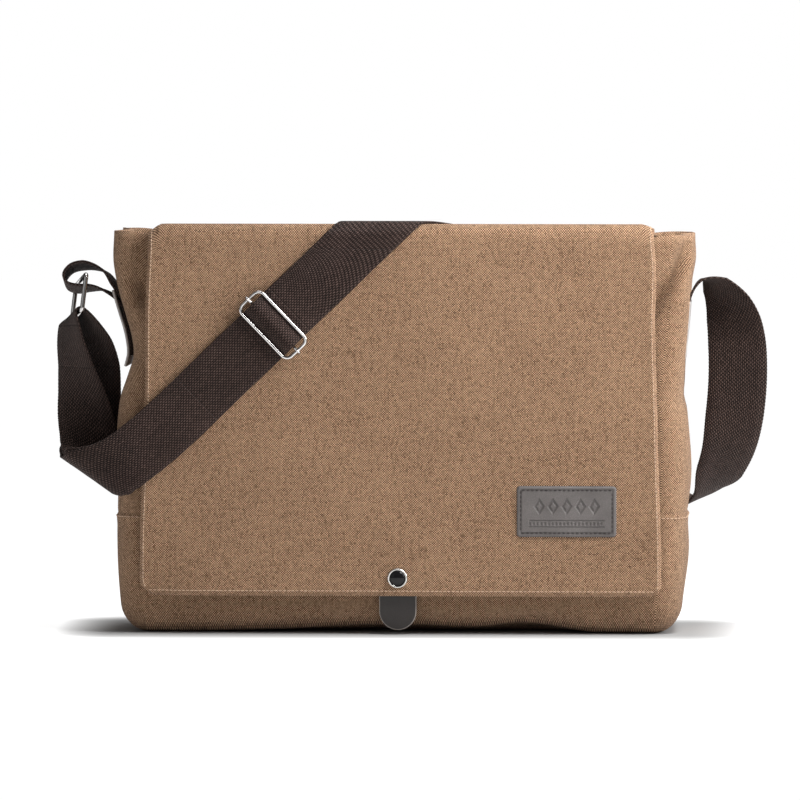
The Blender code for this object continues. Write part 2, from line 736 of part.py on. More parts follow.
def make_anchors():
    """Webbing loop of the ring, and the leather sewn over the webbing's ends on both gussets."""
    loop = smooth_route(LEFT_LOOP, 2)
    ribbon("left_loop", loop, 0, len(loop) - 1, WEB_WIDTH, WEB_THICK, WEBBING_BROWN)
    for name, way, layers in (("left_leather", -1, 2), ("right_leather", 1, 1)):
        off = layers * (WEB_THICK + CLEARANCE) + CLEARANCE + LEATHER / 2
        heights = (178, 188, 198, 208)
        route = smooth_route([((way * (side_x(z) + off), 0, z), (0, 1, 0)) for z in heights], 1)
        ribbon(name, route, 0, len(route) - 1, WEB_WIDTH + 4, LEATHER, LEATHER_GREY)


make_panels()
make_sides()
make_inside()
make_front_pocket()
make_flap()
make_patch()
make_snap()
make_ring()
make_slider()
make_strap()
make_anchors()
make_joints()
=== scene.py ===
# %% [markdown]
# # A canvas messenger bag
# The bag is a soft box of tan canvas with a long flap, a leather patch and tab, a snap, and a dark
# webbing strap that lies over the flap and turns back on itself through a wire slider.
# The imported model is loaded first. It is the fixed frame that every soft piece is fitted around, so
# the sizes below are read from it or repeat its driving dimensions.

# %% Load the frame
import math

import bpy
import numpy as np
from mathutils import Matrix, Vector, noise


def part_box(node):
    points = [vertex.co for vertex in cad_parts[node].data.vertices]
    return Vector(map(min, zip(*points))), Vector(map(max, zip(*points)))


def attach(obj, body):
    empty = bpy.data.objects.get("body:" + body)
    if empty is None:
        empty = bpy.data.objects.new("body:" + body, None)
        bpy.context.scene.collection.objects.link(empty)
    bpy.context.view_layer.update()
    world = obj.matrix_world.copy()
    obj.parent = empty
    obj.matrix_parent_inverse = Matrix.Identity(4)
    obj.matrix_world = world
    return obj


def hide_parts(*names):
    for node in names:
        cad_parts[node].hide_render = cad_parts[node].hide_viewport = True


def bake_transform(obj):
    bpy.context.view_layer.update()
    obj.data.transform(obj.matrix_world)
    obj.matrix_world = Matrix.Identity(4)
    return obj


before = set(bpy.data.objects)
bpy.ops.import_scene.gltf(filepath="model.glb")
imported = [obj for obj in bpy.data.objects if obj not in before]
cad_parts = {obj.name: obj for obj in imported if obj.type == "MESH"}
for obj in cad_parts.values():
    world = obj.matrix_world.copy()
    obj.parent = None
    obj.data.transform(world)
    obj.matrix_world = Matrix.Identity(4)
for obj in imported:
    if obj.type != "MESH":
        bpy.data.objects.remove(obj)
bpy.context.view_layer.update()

MM = 0.001

# %% [markdown]
# ## The camera
# A product picture of a bag is taken from in front, a little above and with a long lens, so that
# upright edges stay upright. The lens is worked out from the width that the picture has to hold.

# %% Camera
AIM = Vector((-3.2, 0, 147.7)) * MM
AZIMUTH, ELEVATION = math.radians(3), math.radians(3)
CAMERA_DISTANCE = 5.0
PICTURE_WIDTH = 0.516

toward_camera = Vector((
    math.sin(AZIMUTH) * math.cos(ELEVATION),
    -math.cos(AZIMUTH) * math.cos(ELEVATION),
    math.sin(ELEVATION),
))
camera_data = bpy.data.cameras.new("camera")
camera_data.lens = camera_data.sensor_width * CAMERA_DISTANCE / PICTURE_WIDTH
camera = bpy.data.objects.new("camera", camera_data)
camera.location = AIM + toward_camera * CAMERA_DISTANCE
camera.rotation_euler = (-toward_camera).to_track_quat("-Z", "Y").to_euler()
bpy.context.scene.collection.objects.link(camera)
bpy.context.scene.camera = camera
print("lens", round(camera_data.lens), "mm at", CAMERA_DISTANCE, "m")

# %% [markdown]
# ## Shader arithmetic
# A weave is a repeat, so it is easiest to write as a formula. One small class wraps a socket and
# answers to + - * /, and each sign adds a Math node. The other class is the material being made.

# %% Readings and finishes


class Reading:
    """A shader socket that takes part in arithmetic."""

    def __init__(self, finish, socket):
        self.finish = finish
        self.socket = socket

    def math(self, operation, *terms):
        return self.finish.node("ShaderNodeMath", {"operation": operation}, dict(enumerate(terms)))

    def __add__(self, other):
        return self.math("ADD", self, other)

    def __sub__(self, other):
        return self.math("SUBTRACT", self, other)

    def __rsub__(self, other):
        return self.math("SUBTRACT", other, self)

    def __mul__(self, other):
        return self.math("MULTIPLY", self, other)

    def __truediv__(self, other):
        return self.math("DIVIDE", self, other)

    __radd__ = __add__
    __rmul__ = __mul__

    def size(self):
        """Its distance from nought."""
        return self.math("ABSOLUTE", self)

    def whole(self):
        """The whole number below it."""
        return self.math("FLOOR", self)

    def wave(self):
        """A sine that crosses nought at each whole number."""
        return self.math("SINE", self * math.pi)

    def ramp(self, low, high):
        """0 at low and 1 at high, held at both ends."""
        return self.finish.node(
            "ShaderNodeMapRange", {"clamp": True}, {"Value": self, "From Min": low, "From Max": high}
        )


class Finish:
    """A material being mixed. Its nodes come from one method."""

    def __init__(self, name, **constants):
        self.material = bpy.data.materials.new(name)
        self.material.use_nodes = True
        self.tree = self.material.node_tree
        self.shader = self.tree.nodes["Principled BSDF"]
        for words, value in constants.items():
            socket = words.replace("_", " ").title().replace("Ior", "IOR")
            self.shader.inputs[socket].default_value = value

    def feed(self, socket, value):
        if isinstance(value, Reading):
            self.tree.links.new(value.socket, socket)
        else:
            socket.default_value = value

    def node(self, kind, settings=None, sockets=None, output=0):
        made = self.tree.nodes.new(kind)
        for key, value in (settings or {}).items():
            setattr(made, key, value)
        for key, value in (sockets or {}).items():
            self.feed(made.inputs[key], value)
        return Reading(self, made.outputs[output])

    def tint(self, share, first, second):
        """A colour between two, by a share from 0 to 1."""
        first, second = (c if isinstance(c, Reading) else (*c, 1) for c in (first, second))
        settings = {"data_type": "RGBA", "clamp_factor": True}
        return self.node("ShaderNodeMix", settings, {0: share, 6: first, 7: second}, 2)

    def speckle(self, place, scale, detail=2.0, roughness=0.5):
        """Smooth noise around a half."""
        sockets = {"Vector": place, "Scale": scale, "Detail": detail, "Roughness": roughness}
        return self.node("ShaderNodeTexNoise", {}, sockets)

    def place(self):
        """Where a point is on the object, in metres."""
        return self.node("ShaderNodeTexCoord", {}, {}, "Object")

    def cloth(self):
        """Across and along the cloth in millimetres, and how worn it is."""
        cut = self.node("ShaderNodeAttribute", {"attribute_name": "cloth"}, {}, "Vector")
        parts = [self.node("ShaderNodeSeparateXYZ", {}, {0: cut}, k) for k in range(3)]
        return parts

    def at(self, x, y, z=0.0):
        """A vector from three values."""
        return self.node("ShaderNodeCombineXYZ", {}, {0: x, 1: y, 2: z})

    def done(self, colour, height=None, depth=0.0, roughness=None):
        """Connect what varies to the shader."""
        self.feed(self.shader.inputs["Base Color"], colour)
        if roughness is not None:
            self.feed(self.shader.inputs["Roughness"], roughness)
        if height is not None:
            bump = self.node("ShaderNodeBump", {}, {"Distance": depth * MM, "Height": height})
            self.feed(self.shader.inputs["Normal"], bump)
        print("finish", self.material.name)
        return self.material


# %% [markdown]
# ## Canvas
# Heathered canvas is a plain weave of yarns that are each a little lighter or darker, with pale
# slubs. Every cloth piece carries an attribute with the distance across and along the cloth, so the
# yarns are the right size everywhere and run round corners with the cloth. The height of a crossing
# is the rounded top of whichever yarn is over. The same recipe makes the lining with a finer yarn.

# %% Woven finishes


def woven(name, yarn, dark, middle, light, worn, contrast=1.0, depth=0.25, **constants):
    """Plain-weave cloth."""
    finish = Finish(name, **constants)
    across, along, wear = finish.cloth()
    a, b = across / yarn, along / yarn
    warp, weft = a.wave(), b.wave()
    over = (warp * weft * 1.4 + 0.5).ramp(0, 1)
    height = over * warp.size() + (1 - over) * weft.size()
    warp_tone = finish.speckle(finish.at(a.whole() * 3.7, b * 0.11), 1.0, 3.0)
    weft_tone = finish.speckle(finish.at(a * 0.11, b.whole() * 3.7, 40.0), 1.0, 3.0)
    yarn_tone = over * warp_tone + (1 - over) * weft_tone
    fleck = finish.speckle(finish.at(a.whole() * 0.9, b.whole() * 0.9, 9.0), 1.7, 1.0)
    mottle = finish.speckle(finish.place(), 22.0, 3.0)
    tone = (over - 0.5) * 1.05 + (yarn_tone - 0.5) * 1.1 + (fleck - 0.5) * 1.5 + (height - 0.62) * 0.8
    tone = 0.5 + tone * contrast + (mottle - 0.5) * 0.3
    colour = finish.tint(tone.ramp(0.0, 0.62), dark, middle)
    colour = finish.tint(tone.ramp(0.62, 1.15), colour, light)
    rub = wear * finish.speckle(finish.place(), 400.0, 2.0).ramp(0.3, 0.75)
    colour = finish.tint(rub * 0.6, colour, worn)
    return finish.done(colour, height + (fleck - 0.5) * 0.5, depth, 0.98 - height * 0.12)


canvas = woven(
    "canvas",
    yarn=0.76,
    dark=(0.062, 0.03, 0.015),
    middle=(0.2, 0.106, 0.056),
    light=(0.66, 0.43, 0.27),
    worn=(0.5, 0.31, 0.2),
    sheen_weight=0.06,
    sheen_roughness=0.6,
    specular_ior_level=0.15,
)
lining_cloth = woven(
    "lining_cloth",
    yarn=0.45,
    dark=(0.02, 0.015, 0.013),
    middle=(0.045, 0.034, 0.03),
    light=(0.085, 0.068, 0.06),
    worn=(0.09, 0.07, 0.06),
    contrast=0.5,
    depth=0.08,
    specular_ior_level=0.35,
)

# %% [markdown]
# ## Webbing
# Strap webbing is thick and coarse: the warp floats show as small ovals in rows, each row shifted by
# half an oval, with a firm rounded selvedge at both edges. Two shifted rows of bumps make that. Their
# colour carries painted light: a painted highlight on each float's top and painted shade in the gaps.

# %% Webbing finish


def webbing_finish(name, oval_width, oval_length, painted_gap_shade, middle, top):
    """Coarse cotton webbing, with a painted highlight on the float tops and painted shade between them."""
    finish = Finish(name, sheen_weight=0.05, sheen_roughness=0.5, specular_ior_level=0.15)
    across, along, _ = finish.cloth()
    column = across / oval_width
    shift = column.whole() / 2 - (column.whole() / 2).whole()
    row = along / oval_length + shift
    oval = column.wave().size() * row.wave().size()
    float_tone = finish.speckle(finish.at(column.whole() * 1.3, row.whole() * 1.3), 1.1, 1.0)
    fibre = finish.speckle(finish.at(across * 6.0, along * 1.5), 1.0, 2.0)
    mottle = finish.speckle(finish.place(), 30.0, 2.0)
    tone = oval * 0.85 + (float_tone - 0.5) * 0.5 + (fibre - 0.5) * 0.3 + (mottle - 0.5) * 0.3
    # painted light: the float height darkens the gaps as painted shade and lightens the float tops as a
    # painted highlight; the float, fibre and mottle tones are the webbing's own
    colour = finish.tint(tone.ramp(0.05, 0.5), painted_gap_shade, middle)
    colour = finish.tint(tone.ramp(0.55, 1.1), colour, top)
    return finish.done(colour, oval + (fibre - 0.5) * 0.2, 0.6, 0.95 - oval * 0.2)


# colours: painted shade in the gaps, the webbing's own brown, and a painted highlight on the float tops
webbing = webbing_finish(
    "webbing", 1.2, 2.4, (0.008, 0.005, 0.004), (0.048, 0.028, 0.023), (0.17, 0.112, 0.094)
)

# %% [markdown]
# ## Leather, thread and metal
# The patch and the tab are smooth grey-brown leather with a fine pebble and a paler cut edge. The
# hardware is polished black nickel, and the snap is a nickel rim round a glossy dome whose black is a
# painted dark reflection.

# %% Leather finishes


def leather_finish(name, low, high, pebble=900.0, roughness=0.5):
    """Grained leather: cells with soft creases between them."""
    finish = Finish(name, specular_ior_level=0.45)
    place = finish.place()
    sockets = {"Vector": place, "Scale": pebble}
    cell = finish.node("ShaderNodeTexVoronoi", {"feature": "DISTANCE_TO_EDGE"}, sockets)
    crease = cell.ramp(0.0, 0.22)
    cloud = finish.speckle(place, 60.0, 4.0)
    grain = finish.speckle(place, 2600.0, 2.0)
    colour = finish.tint(cloud.ramp(0.3, 0.7), low, high)
    colour = finish.tint((1 - crease) * 0.35, colour, [share * 0.6 for share in low])
    height = crease * 0.6 + grain * 0.4
    return finish.done(colour, height, 0.06, roughness + (cloud - 0.5) * 0.2)


def plain_finish(name, low, high, scale, roughness, spread, height=0.0, **constants):
    """Metal, the dome's painted black reflection, thread or board: a colour that clouds a little, with a
    roughness that does too.
    """
    finish = Finish(name, **constants)
    cloud = finish.speckle(finish.place(), scale, 3.0)
    colour = finish.tint(cloud.ramp(0.3, 0.7), low, high)
    return finish.done(colour, cloud, height, roughness + (cloud - 0.5) * spread)


patch_leather = leather_finish("patch_leather", (0.105, 0.093, 0.089), (0.15, 0.135, 0.13))
tab_leather = leather_finish("tab_leather", (0.022, 0.018, 0.016), (0.034, 0.028, 0.026), 1100.0, 0.42)
strip_leather = leather_finish("strip_leather", (0.4, 0.365, 0.345), (0.52, 0.48, 0.46))
edge_paint = plain_finish("edge_paint", (0.24, 0.21, 0.19), (0.34, 0.3, 0.27), 300, 0.45, 0.2)
tan_thread = plain_finish("tan_thread", (0.42, 0.28, 0.19), (0.62, 0.45, 0.33), 900, 0.75, 0.1)
dark_thread = plain_finish("dark_thread", (0.025, 0.02, 0.019), (0.05, 0.04, 0.037), 900, 0.6, 0.1)
black_nickel = plain_finish(
    "black_nickel", (0.6, 0.58, 0.57), (0.72, 0.7, 0.68), 90, 0.12, 0.08, metallic=1.0
)
bright_nickel = plain_finish(
    "bright_nickel", (0.62, 0.6, 0.57), (0.72, 0.7, 0.67), 200, 0.2, 0.12, metallic=1.0
)
# the dome's black is a painted dark reflection; its gloss is the real finish
dome_painted_reflection = plain_finish(
    "dome_painted_reflection", (0.004, 0.004, 0.005), (0.008, 0.007, 0.008), 150, 0.08, 0.04, specular_ior_level=0.3
)
board_grey = plain_finish("board_grey", (0.16, 0.15, 0.14), (0.22, 0.21, 0.19), 120, 0.8, 0.1)

# %% [markdown]
# ## Building cloth
# Each cloth piece is a grid of points from a formula. A surface without thickness looks like paper,
# so it gets a real one, and it keeps its cloth distances at the corners of its faces, where a sheet
# that closes on itself may jump from one edge of the cloth to the other.

# %% Sheets


def settle(made, slot, body, *nodes):
    """Make a piece move with a body and hide the solids it stands for; what it is made of (slot) is not
    used.
    """
    if nodes:
        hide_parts(*nodes)
    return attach(made, body)


def link(name, mesh):
    """An object in the scene."""
    made = bpy.data.objects.new(name, mesh)
    bpy.context.scene.collection.objects.link(made)
    return made


def mesh_of(name, points, faces, cloth=None):
    """A smooth mesh in metres from points in millimetres, with the cloth distances at its corners."""
    mesh = bpy.data.meshes.new(name)
    mesh.from_pydata([Vector(point) * MM for point in points], [], faces)
    if cloth is not None:
        kept = mesh.attributes.new("cloth", "FLOAT_VECTOR", "CORNER")
        kept.data.foreach_set("vector", np.array(cloth, dtype=np.float32).ravel())
    mesh.shade_smooth()
    return mesh


def finished(made):
    """The object with its modifiers applied."""
    bpy.context.view_layer.update()
    graph = bpy.context.evaluated_depsgraph_get()
    seen = made.evaluated_get(graph)
    mesh = bpy.data.meshes.new_from_object(seen, preserve_all_data_layers=True, depsgraph=graph)
    made.modifiers.clear()
    made.data = mesh
    return made


def sheet(name, rows, columns, place, slots, thickness, wrap=False, inward=-1.0):
    """A grid of cloth. place(i, j) gives a point and its (across, along, worn)."""
    round_count = columns if wrap else columns + 1
    cells = [[place(i, j) for j in range(columns + 1)] for i in range(rows + 1)]
    points = [cells[i][j][0] for i in range(rows + 1) for j in range(round_count)]
    faces, cloth = [], []
    for i in range(rows):
        for j in range(columns):
            corners = ((i, j), (i, j + 1), (i + 1, j + 1), (i + 1, j))
            faces.append([a * round_count + b % round_count for a, b in corners])
            cloth += [cells[a][b][1] for a, b in corners]
    made = link(name, mesh_of(name, points, faces, cloth))
    for slot in slots:
        made.data.materials.append(slot)
    thick = made.modifiers.new("thickness", "SOLIDIFY")
    thick.thickness = thickness * MM
    thick.offset = inward
    return finished(made)


def through(stations):
    """A smooth function through (position, value) pairs, level beyond both ends."""
    places, values = zip(*stations)
    slopes = np.gradient(np.array(values, float), np.array(places, float))
    slopes[0] = slopes[-1] = 0.0

    def value(at):
        if at <= places[0]:
            return values[0]
        if at >= places[-1]:
            return values[-1]
        i = int(np.searchsorted(places, at)) - 1
        span = places[i + 1] - places[i]
        t = (at - places[i]) / span
        found = values[i] * (1 - 3 * t**2 + 2 * t**3) + values[i + 1] * (3 * t**2 - 2 * t**3)
        return found + span * (slopes[i] * (t - 2 * t**2 + t**3) + slopes[i + 1] * (t**3 - t**2))

    return value


def running_lengths(points):
    """The distance along a line of points to each of them."""
    lengths = [0.0]
    for a, b in zip(points, points[1:]):
        lengths.append(lengths[-1] + (b - a).length)
    return lengths


def ease(value, low, high):
    """0 below low, 1 above high and a smooth step between."""
    t = min(1.0, max(0.0, (value - low) / (high - low)))
    return t * t * (3 - 2 * t)


def swell(x, y, z, size, seed):
    """Smooth unevenness from -1 to 1 with a wavelength."""
    return noise.noise(Vector((x, y, z)) / size + Vector((seed, seed * 1.7, -seed)))


def hill(x, y, middle_x, middle_y, size_x, size_y):
    """A round bump that fades out."""
    return math.exp(-(((x - middle_x) / size_x) ** 2) - ((y - middle_y) / size_y) ** 2)


# %% [markdown]
# ## The body
# A canvas bag is panels sewn into a box, but what the eye sees is one skin that bulges between its
# seams, pinches where the strap pulls, and folds in at the mouth's corners. So the skin is one loft:
# rings at rising heights, each a rounded rectangle whose sides follow the left and right outlines.
# Formulas then push it in and out: the seam over the boot, the creased ears and the lifted bottom.

# %% Outlines of the body
DEPTH = 90.0
HALF_DEPTH = DEPTH / 2
RIM = 256.0
SEAM = 77.0
CANVAS = 1.6
EDGE_ROUND = 16.0
FOOT_ROUND = 17.0

left_outline = through([
    (0, 180), (35, 182), (93, 182), (140, 182.3), (152, 181.2), (165, 177.2), (177, 173.6),
    (190, 174.8), (204, 178.8), (222, 184), (237, 186.6), (256, 187.8),
])
right_outline = through([
    (0, 178), (28, 179.6), (54, 180.6), (74, 180.6), (93, 182), (130, 182.2), (142, 181.4),
    (151, 179.6), (160, 181.2), (183, 184.6), (209, 187), (235, 188.3), (256, 189.2),
])
rim_line = through([
    (-189, 257.6), (-170, 257.2), (-150, 252), (0, 251), (150, 252), (166, 254.6), (189, 254.8),
])
bottom_line = through([
    (-150, 0), (-97, 1.0), (-65, 2.2), (-33, 3.8), (12, 4.5), (44, 3.2), (82, 6.0), (110, 2.0), (125, 0),
])


def ring_stations(long_count, short_count, corner_count):
    """Where a ring's points sit: on which side, and which way the skin faces there."""
    found = []
    for turn, (sx, sy) in enumerate(((1, -1), (1, 1), (-1, 1), (-1, -1))):
        start = math.radians(-90 + 90 * turn)
        for k in range(corner_count):
            angle = start + math.pi / 2 * k / corner_count
            found.append((sx, sy, math.cos(angle), math.sin(angle)))
        nx, ny = math.cos(start + math.pi / 2), math.sin(start + math.pi / 2)
        count = short_count if abs(nx) > 0.5 else long_count
        for k in range(count):
            step = 2 * k / count
            x = sx - step * (sx if abs(ny) > 0.5 else 0)
            y = sy - step * (sy if abs(nx) > 0.5 else 0)
            found.append((x, y, nx, ny))
    return found


STATIONS = ring_stations(88, 20, 6)


def front_push(x, z):
    """How far the front skin stands out of its flat panel."""
    side = ease(abs(x), 140, 172)
    push = side * 2.4 * ease(z, 8, 50) * (1 - ease(z, 150, 230)) + side * 1.4 * swell(x, 0, z, 38, 3.1)
    # the right ear: a crease runs down from the rim's corner, gentle above it and steep below
    crease = (z - 247) - (x - 187) * 1.45
    ear = ease(x, 140, 158) * (1 - ease(x, 183, 189.5))
    above = math.exp(-((crease / 15) ** 2)) if crease > 0 else math.exp(-((crease / 6) ** 2))
    push -= 9.5 * ear * above
    # the left ear: a deep dimple beside the flap
    push -= 9.0 * hill(x, z, -167, 219, 9, 10) + 3.5 * hill(x, z, -168, 245, 12, 22)
    return push


def back_push(x, z):
    """How far the back skin stands out."""
    belly = (1 - (x / 190) ** 2) * ease(z, 5, 70) * (1 - ease(z, 170, 225))
    return 1.3 * belly + 0.9 * swell(x, 50, z, 52, 8.4) * ease(z, 10, 40) * (1 - ease(z, 205, 228))


def side_push(way, y, z):
    """How far a gusset stands out: dished at the mouth, full at the foot."""
    level = 1 - (y / HALF_DEPTH) ** 2
    push = 1.8 * level * ease(z, 10, 50) * (1 - ease(z, 100, 150)) - 1.2 * level * ease(z, 140, 165)
    push -= level**2 * 9.0 * ease(z, 234, 256)
    if way > 0:
        push -= level * 5.5 * ease(z, 150, 182) * (1 - ease(z, 222, 244))
    return push + 1.3 * swell(way * 60, y, z, 30, 5.2) * level * (1 - ease(z, 160, 178))


def seam_push(z):
    """The seam over the boot: a fine groove, with the upper canvas lapped over it."""
    groove = -0.9 * math.exp(-(((z - SEAM) / 1.3) ** 2))
    return groove + 0.55 * ease(z, SEAM - 8, SEAM - 2) * (1 - ease(z, SEAM, SEAM + 2))


def skin(station, z, inset):
    """A point of the skin on a ring, drawn in by an inset."""
    sx, sy, nx, ny = station
    half = left_outline(z) + (right_outline(z) - left_outline(z)) * (sx + 1) / 2
    radius = max(EDGE_ROUND - inset, 0.5)
    x = sx * (half - inset - radius) + nx * radius
    y = sy * (HALF_DEPTH - inset - radius) + ny * radius
    hold = 1 - ease(inset, 6, FOOT_ROUND)
    out = front_push(x, z) * max(0.0, -ny) + back_push(x, z) * max(0.0, ny)
    out += side_push(math.copysign(1, nx), y, z) * abs(nx) ** 2
    lapped = ease(abs(x), 120, 150) if abs(ny) > 0.5 and ny < 0 else 1.0
    out = (out + seam_push(z) * lapped) * hold
    x, y = x + nx * out, y + ny * out
    z += (rim_line(x) - RIM) * ease(z, 205, RIM) * (0.7 if ny > 0.5 else 1.0)
    z += bottom_line(x) * (1 - ease(z, 2, 22)) * ease(-y, 6, 34) + 0.15
    return Vector((x, y, z))


# %% [markdown]
# The rings are close together near the seam, the foot and the rim, where the skin turns quickly,
# and the last ones close the bottom. Yarns run up the panels and along the bottom.

# %% Body skin


def body_levels(top, bottom_inset):
    """(height, inset) of each ring, from the middle of the bottom up to the rim."""
    levels = [(0.0, HALF_DEPTH - 0.6 - k * 4.4) for k in range(7)]
    levels = [(0.0, inset) for _, inset in levels if inset > FOOT_ROUND]
    for k in range(9):
        turn = math.pi / 2 * k / 8
        levels.append((FOOT_ROUND * (1 - math.cos(turn)), FOOT_ROUND * (1 - math.sin(turn))))
    heights = list(np.arange(21, SEAM - 6, 4.0))
    heights += [SEAM + d for d in (-5, -3, -1.6, -0.8, 0, 0.8, 1.6, 3, 5)]
    heights += list(np.arange(SEAM + 8.5, top - 2, 3.6)) + [top]
    levels += [(height, 0.0) for height in heights]
    return [(z + bottom_inset * (1 - ease(z, 0, 20)), inset) for z, inset in levels]


def ring_cloth():
    """Distance round the body to each station, on its reference ring."""
    points = [skin(station, 120, 0) for station in STATIONS]
    return running_lengths(points + points[:1])


around = ring_cloth()
levels = body_levels(RIM, 0.0)


def body_place(i, j):
    height, inset = levels[i]
    point = skin(STATIONS[j % len(STATIONS)], height, inset)
    if inset > FOOT_ROUND - 0.5:
        return point, (point.x, point.y - 45, 0)
    worn = math.exp(-(((height - 5) / 6) ** 2)) * 0.5 + ease(height, RIM - 4, RIM) * 0.6
    return point, (around[j], height + inset * 0.5, worn)


body = sheet("body_skin", len(levels) - 1, len(STATIONS), body_place, [canvas], CANVAS, wrap=True)
shell_nodes = ("front_panel", "back_panel", "left_gusset", "right_gusset", "base_strip")
settle(body, "canvas", "bag", *shell_nodes)
print("body skin", len(body.data.vertices), "points")

# %% [markdown]
# ## Inside
# Behind the canvas hangs a dark lining with a canvas facing round the mouth, and a slip pocket is
# sewn to its back wall. The lining is the same loft, drawn in by more than the canvas is thick.

# %% Lining, facing and inner pocket
FACING = RIM - 30
LINER_GAP = 2.1
lining_levels = [
    (max(z, 5.0) if inset > 0 else z, inset + LINER_GAP)
    for z, inset in body_levels(FACING, 0.0)
    if inset + LINER_GAP < HALF_DEPTH - 1
]


def lining_place(i, j):
    height, inset = lining_levels[i]
    station = STATIONS[j % len(STATIONS)]
    point = skin(station, max(height, 5.5), inset)
    return point, (around[j], height - inset, 0)


def facing_place(i, j):
    height = FACING - 2 + i * (RIM - 0.8 - FACING + 2) / 8
    point = skin(STATIONS[j % len(STATIONS)], height, CANVAS + 0.05)
    return point, (around[j], height, 0.5 * ease(height, RIM - 4, RIM))


lining = sheet(
    "lining_bag", len(lining_levels) - 1, len(STATIONS), lining_place, [lining_cloth], 0.6, wrap=True
)
facing = sheet("mouth_band", 8, len(STATIONS), facing_place, [canvas], 1.2, wrap=True)


def inner_pocket_place(i, j):
    x, z = -95 + 190 * j / 30, 80 + 115 * i / 20
    gape = 3.2 * ease(z, 120, 195) * (1 - (x / 95) ** 2)
    return Vector((x, HALF_DEPTH - 4.6 - gape + 0.4 * swell(x, 0, z, 30, 2.2), z)), (x, z, 0)


inner_pocket = sheet("inner_slip_pocket", 20, 30, inner_pocket_place, [lining_cloth], 0.8)


def front_pocket_place(i, j):
    x, z = -128 + 256 * j / 40, 56 + 120 * i / 24
    return Vector((x, -HALF_DEPTH - 0.6 + 0.2 * swell(x, 0, z, 40, 1.2), z)), (x, z, ease(z, 172, 176))


front_pocket = sheet("front_slip_pocket", 24, 40, front_pocket_place, [canvas], 1.3, inward=1.0)
for made, slot, node in (
    (lining, "lining", "lining"), (facing, "canvas", "mouth_facing"),
    (inner_pocket, "lining", "inner_pocket"), (front_pocket, "canvas", "front_pocket"),
):
    settle(made, slot, "bag", node)
print("inside of the bag done")

# %% [markdown]
# ## The flap
# The flap is one length of canvas: sewn to the back, over the mouth and down the front. It crosses
# two folds, and the cloth is cut in the middle of the roof, where it hardly bends, into two halves.
# The same path carries the canvas, its lining and its stitches, at different distances in from the
# outer face.

# %% Path of the flap
FACE, REAR, ROOF = -53.2, 47.3, 259.5
FOLD = 6.0
HEM = 25.0
REAR_LOW = 229.0
ARC = FOLD * math.pi / 2
REAR_RUN = ROOF - FOLD - REAR_LOW
ROOF_RUN = REAR - FACE - 2 * FOLD
FRONT_RUN = ROOF - FOLD - HEM
FLAP_LENGTH = REAR_RUN + ROOF_RUN + FRONT_RUN + 2 * ARC
ROOF_MIDDLE = REAR_RUN + ARC + ROOF_RUN / 2

flap_left = through([(25, 167.6), (60, 167.2), (110, 165.2), (150, 163.8), (210, 163.2), (256, 161.6)])
flap_right = through([
    (25, 166.4), (60, 166.2), (110, 164.6), (150, 163.6), (200, 162.2), (235, 162.8), (256, 161.4),
])


def crown(y, z):
    """The flap stands highest behind its front fold and is lower at the back."""
    behind = 3.8 * ease(y, -46, -18) + 2.4 * min(1.0, max(0.0, (y + 20) / 55))
    return ease(z, 246, 258) * (3.2 * ease(y, -54, -47) - behind)


def ripple(x, z):
    """Soft unevenness of the hanging flap. It is still under the strap, the patch and the snap."""
    strap = abs((x + 81.3) * 0.694 - (z - 198.4) * 0.72)
    calm = ease(strap, 22, 60) * (1 - hill(x, z, -2, 36, 30, 30))
    calm *= 1 - 0.8 * hill(x, z, 106, 80, 60, 40)
    calm *= 1 - ease(z, 225, 250)
    return calm * (1.5 * swell(x, 0, z, 75, 4.3) + 0.5 * swell(x, 3, z, 32, 6.1))


def flap_path(s, depth):
    """(y, z) and the way the cloth faces, at a distance along the flap from its seam at the back."""
    if s < REAR_RUN:
        return Vector((REAR - depth, REAR_LOW + s)), Vector((1, 0))
    s -= REAR_RUN
    if s < ARC:
        turn = s / FOLD
        out = Vector((math.cos(turn), math.sin(turn)))
        return Vector((REAR - FOLD, ROOF - FOLD)) + out * (FOLD - depth), out
    s -= ARC
    if s < ROOF_RUN:
        return Vector((REAR - FOLD - s, ROOF - depth)), Vector((0, 1))
    s -= ROOF_RUN
    if s < ARC:
        turn = s / FOLD
        out = Vector((-math.sin(turn), math.cos(turn)))
        return Vector((FACE + FOLD, ROOF - FOLD)) + out * (FOLD - depth), out
    return Vector((FACE + depth, ROOF - FOLD - (s - ARC))), Vector((-1, 0))


def flap_point(s, across, depth, inset=0.0):
    """A point of the flap: across runs from -1 at its left edge to 1 at its right one."""
    (y, z), out = flap_path(s, depth)
    on_front = out.x < -0.5
    level = z if on_front else RIM
    edge = flap_left(level) if across < 0 else flap_right(level)
    low = FLAP_LENGTH - s
    corner = 11.0 if across < 0 else 7.0
    if low < corner and on_front:
        edge -= corner - math.sqrt(max(corner**2 - (corner - low) ** 2, 0))
    x = across * (edge - inset)
    z += crown(y, z)
    droop = 6.5 if across < 0 else 3.5
    z -= droop * ease(abs(x), 148, 164) ** 2 * ease(z, 240, 256)
    if on_front:
        y -= ripple(x, z)
        y += 3.4 * hill(x, z, -168, 22, 22, 26) + 1.2 * hill(x, z, 168, 20, 20, 24)
        y -= 1.0 * ease(60 - z, 0, 36) * (0.5 + swell(x, 0, 0, 55, 7.7)) * (1 - hill(x, 0, -2, 0, 26, 1))
    hem = min(low, edge - abs(x)) if s > REAR_RUN else edge - abs(x)
    turned = (1 - ease(hem, 8.6, 9.8)) * 0.35 - 0.25 * (1 - ease(hem, 0, 1.6))
    return Vector((x, y + out.x * turned, z + out.y * turned))


FLAP_COLUMNS = 92


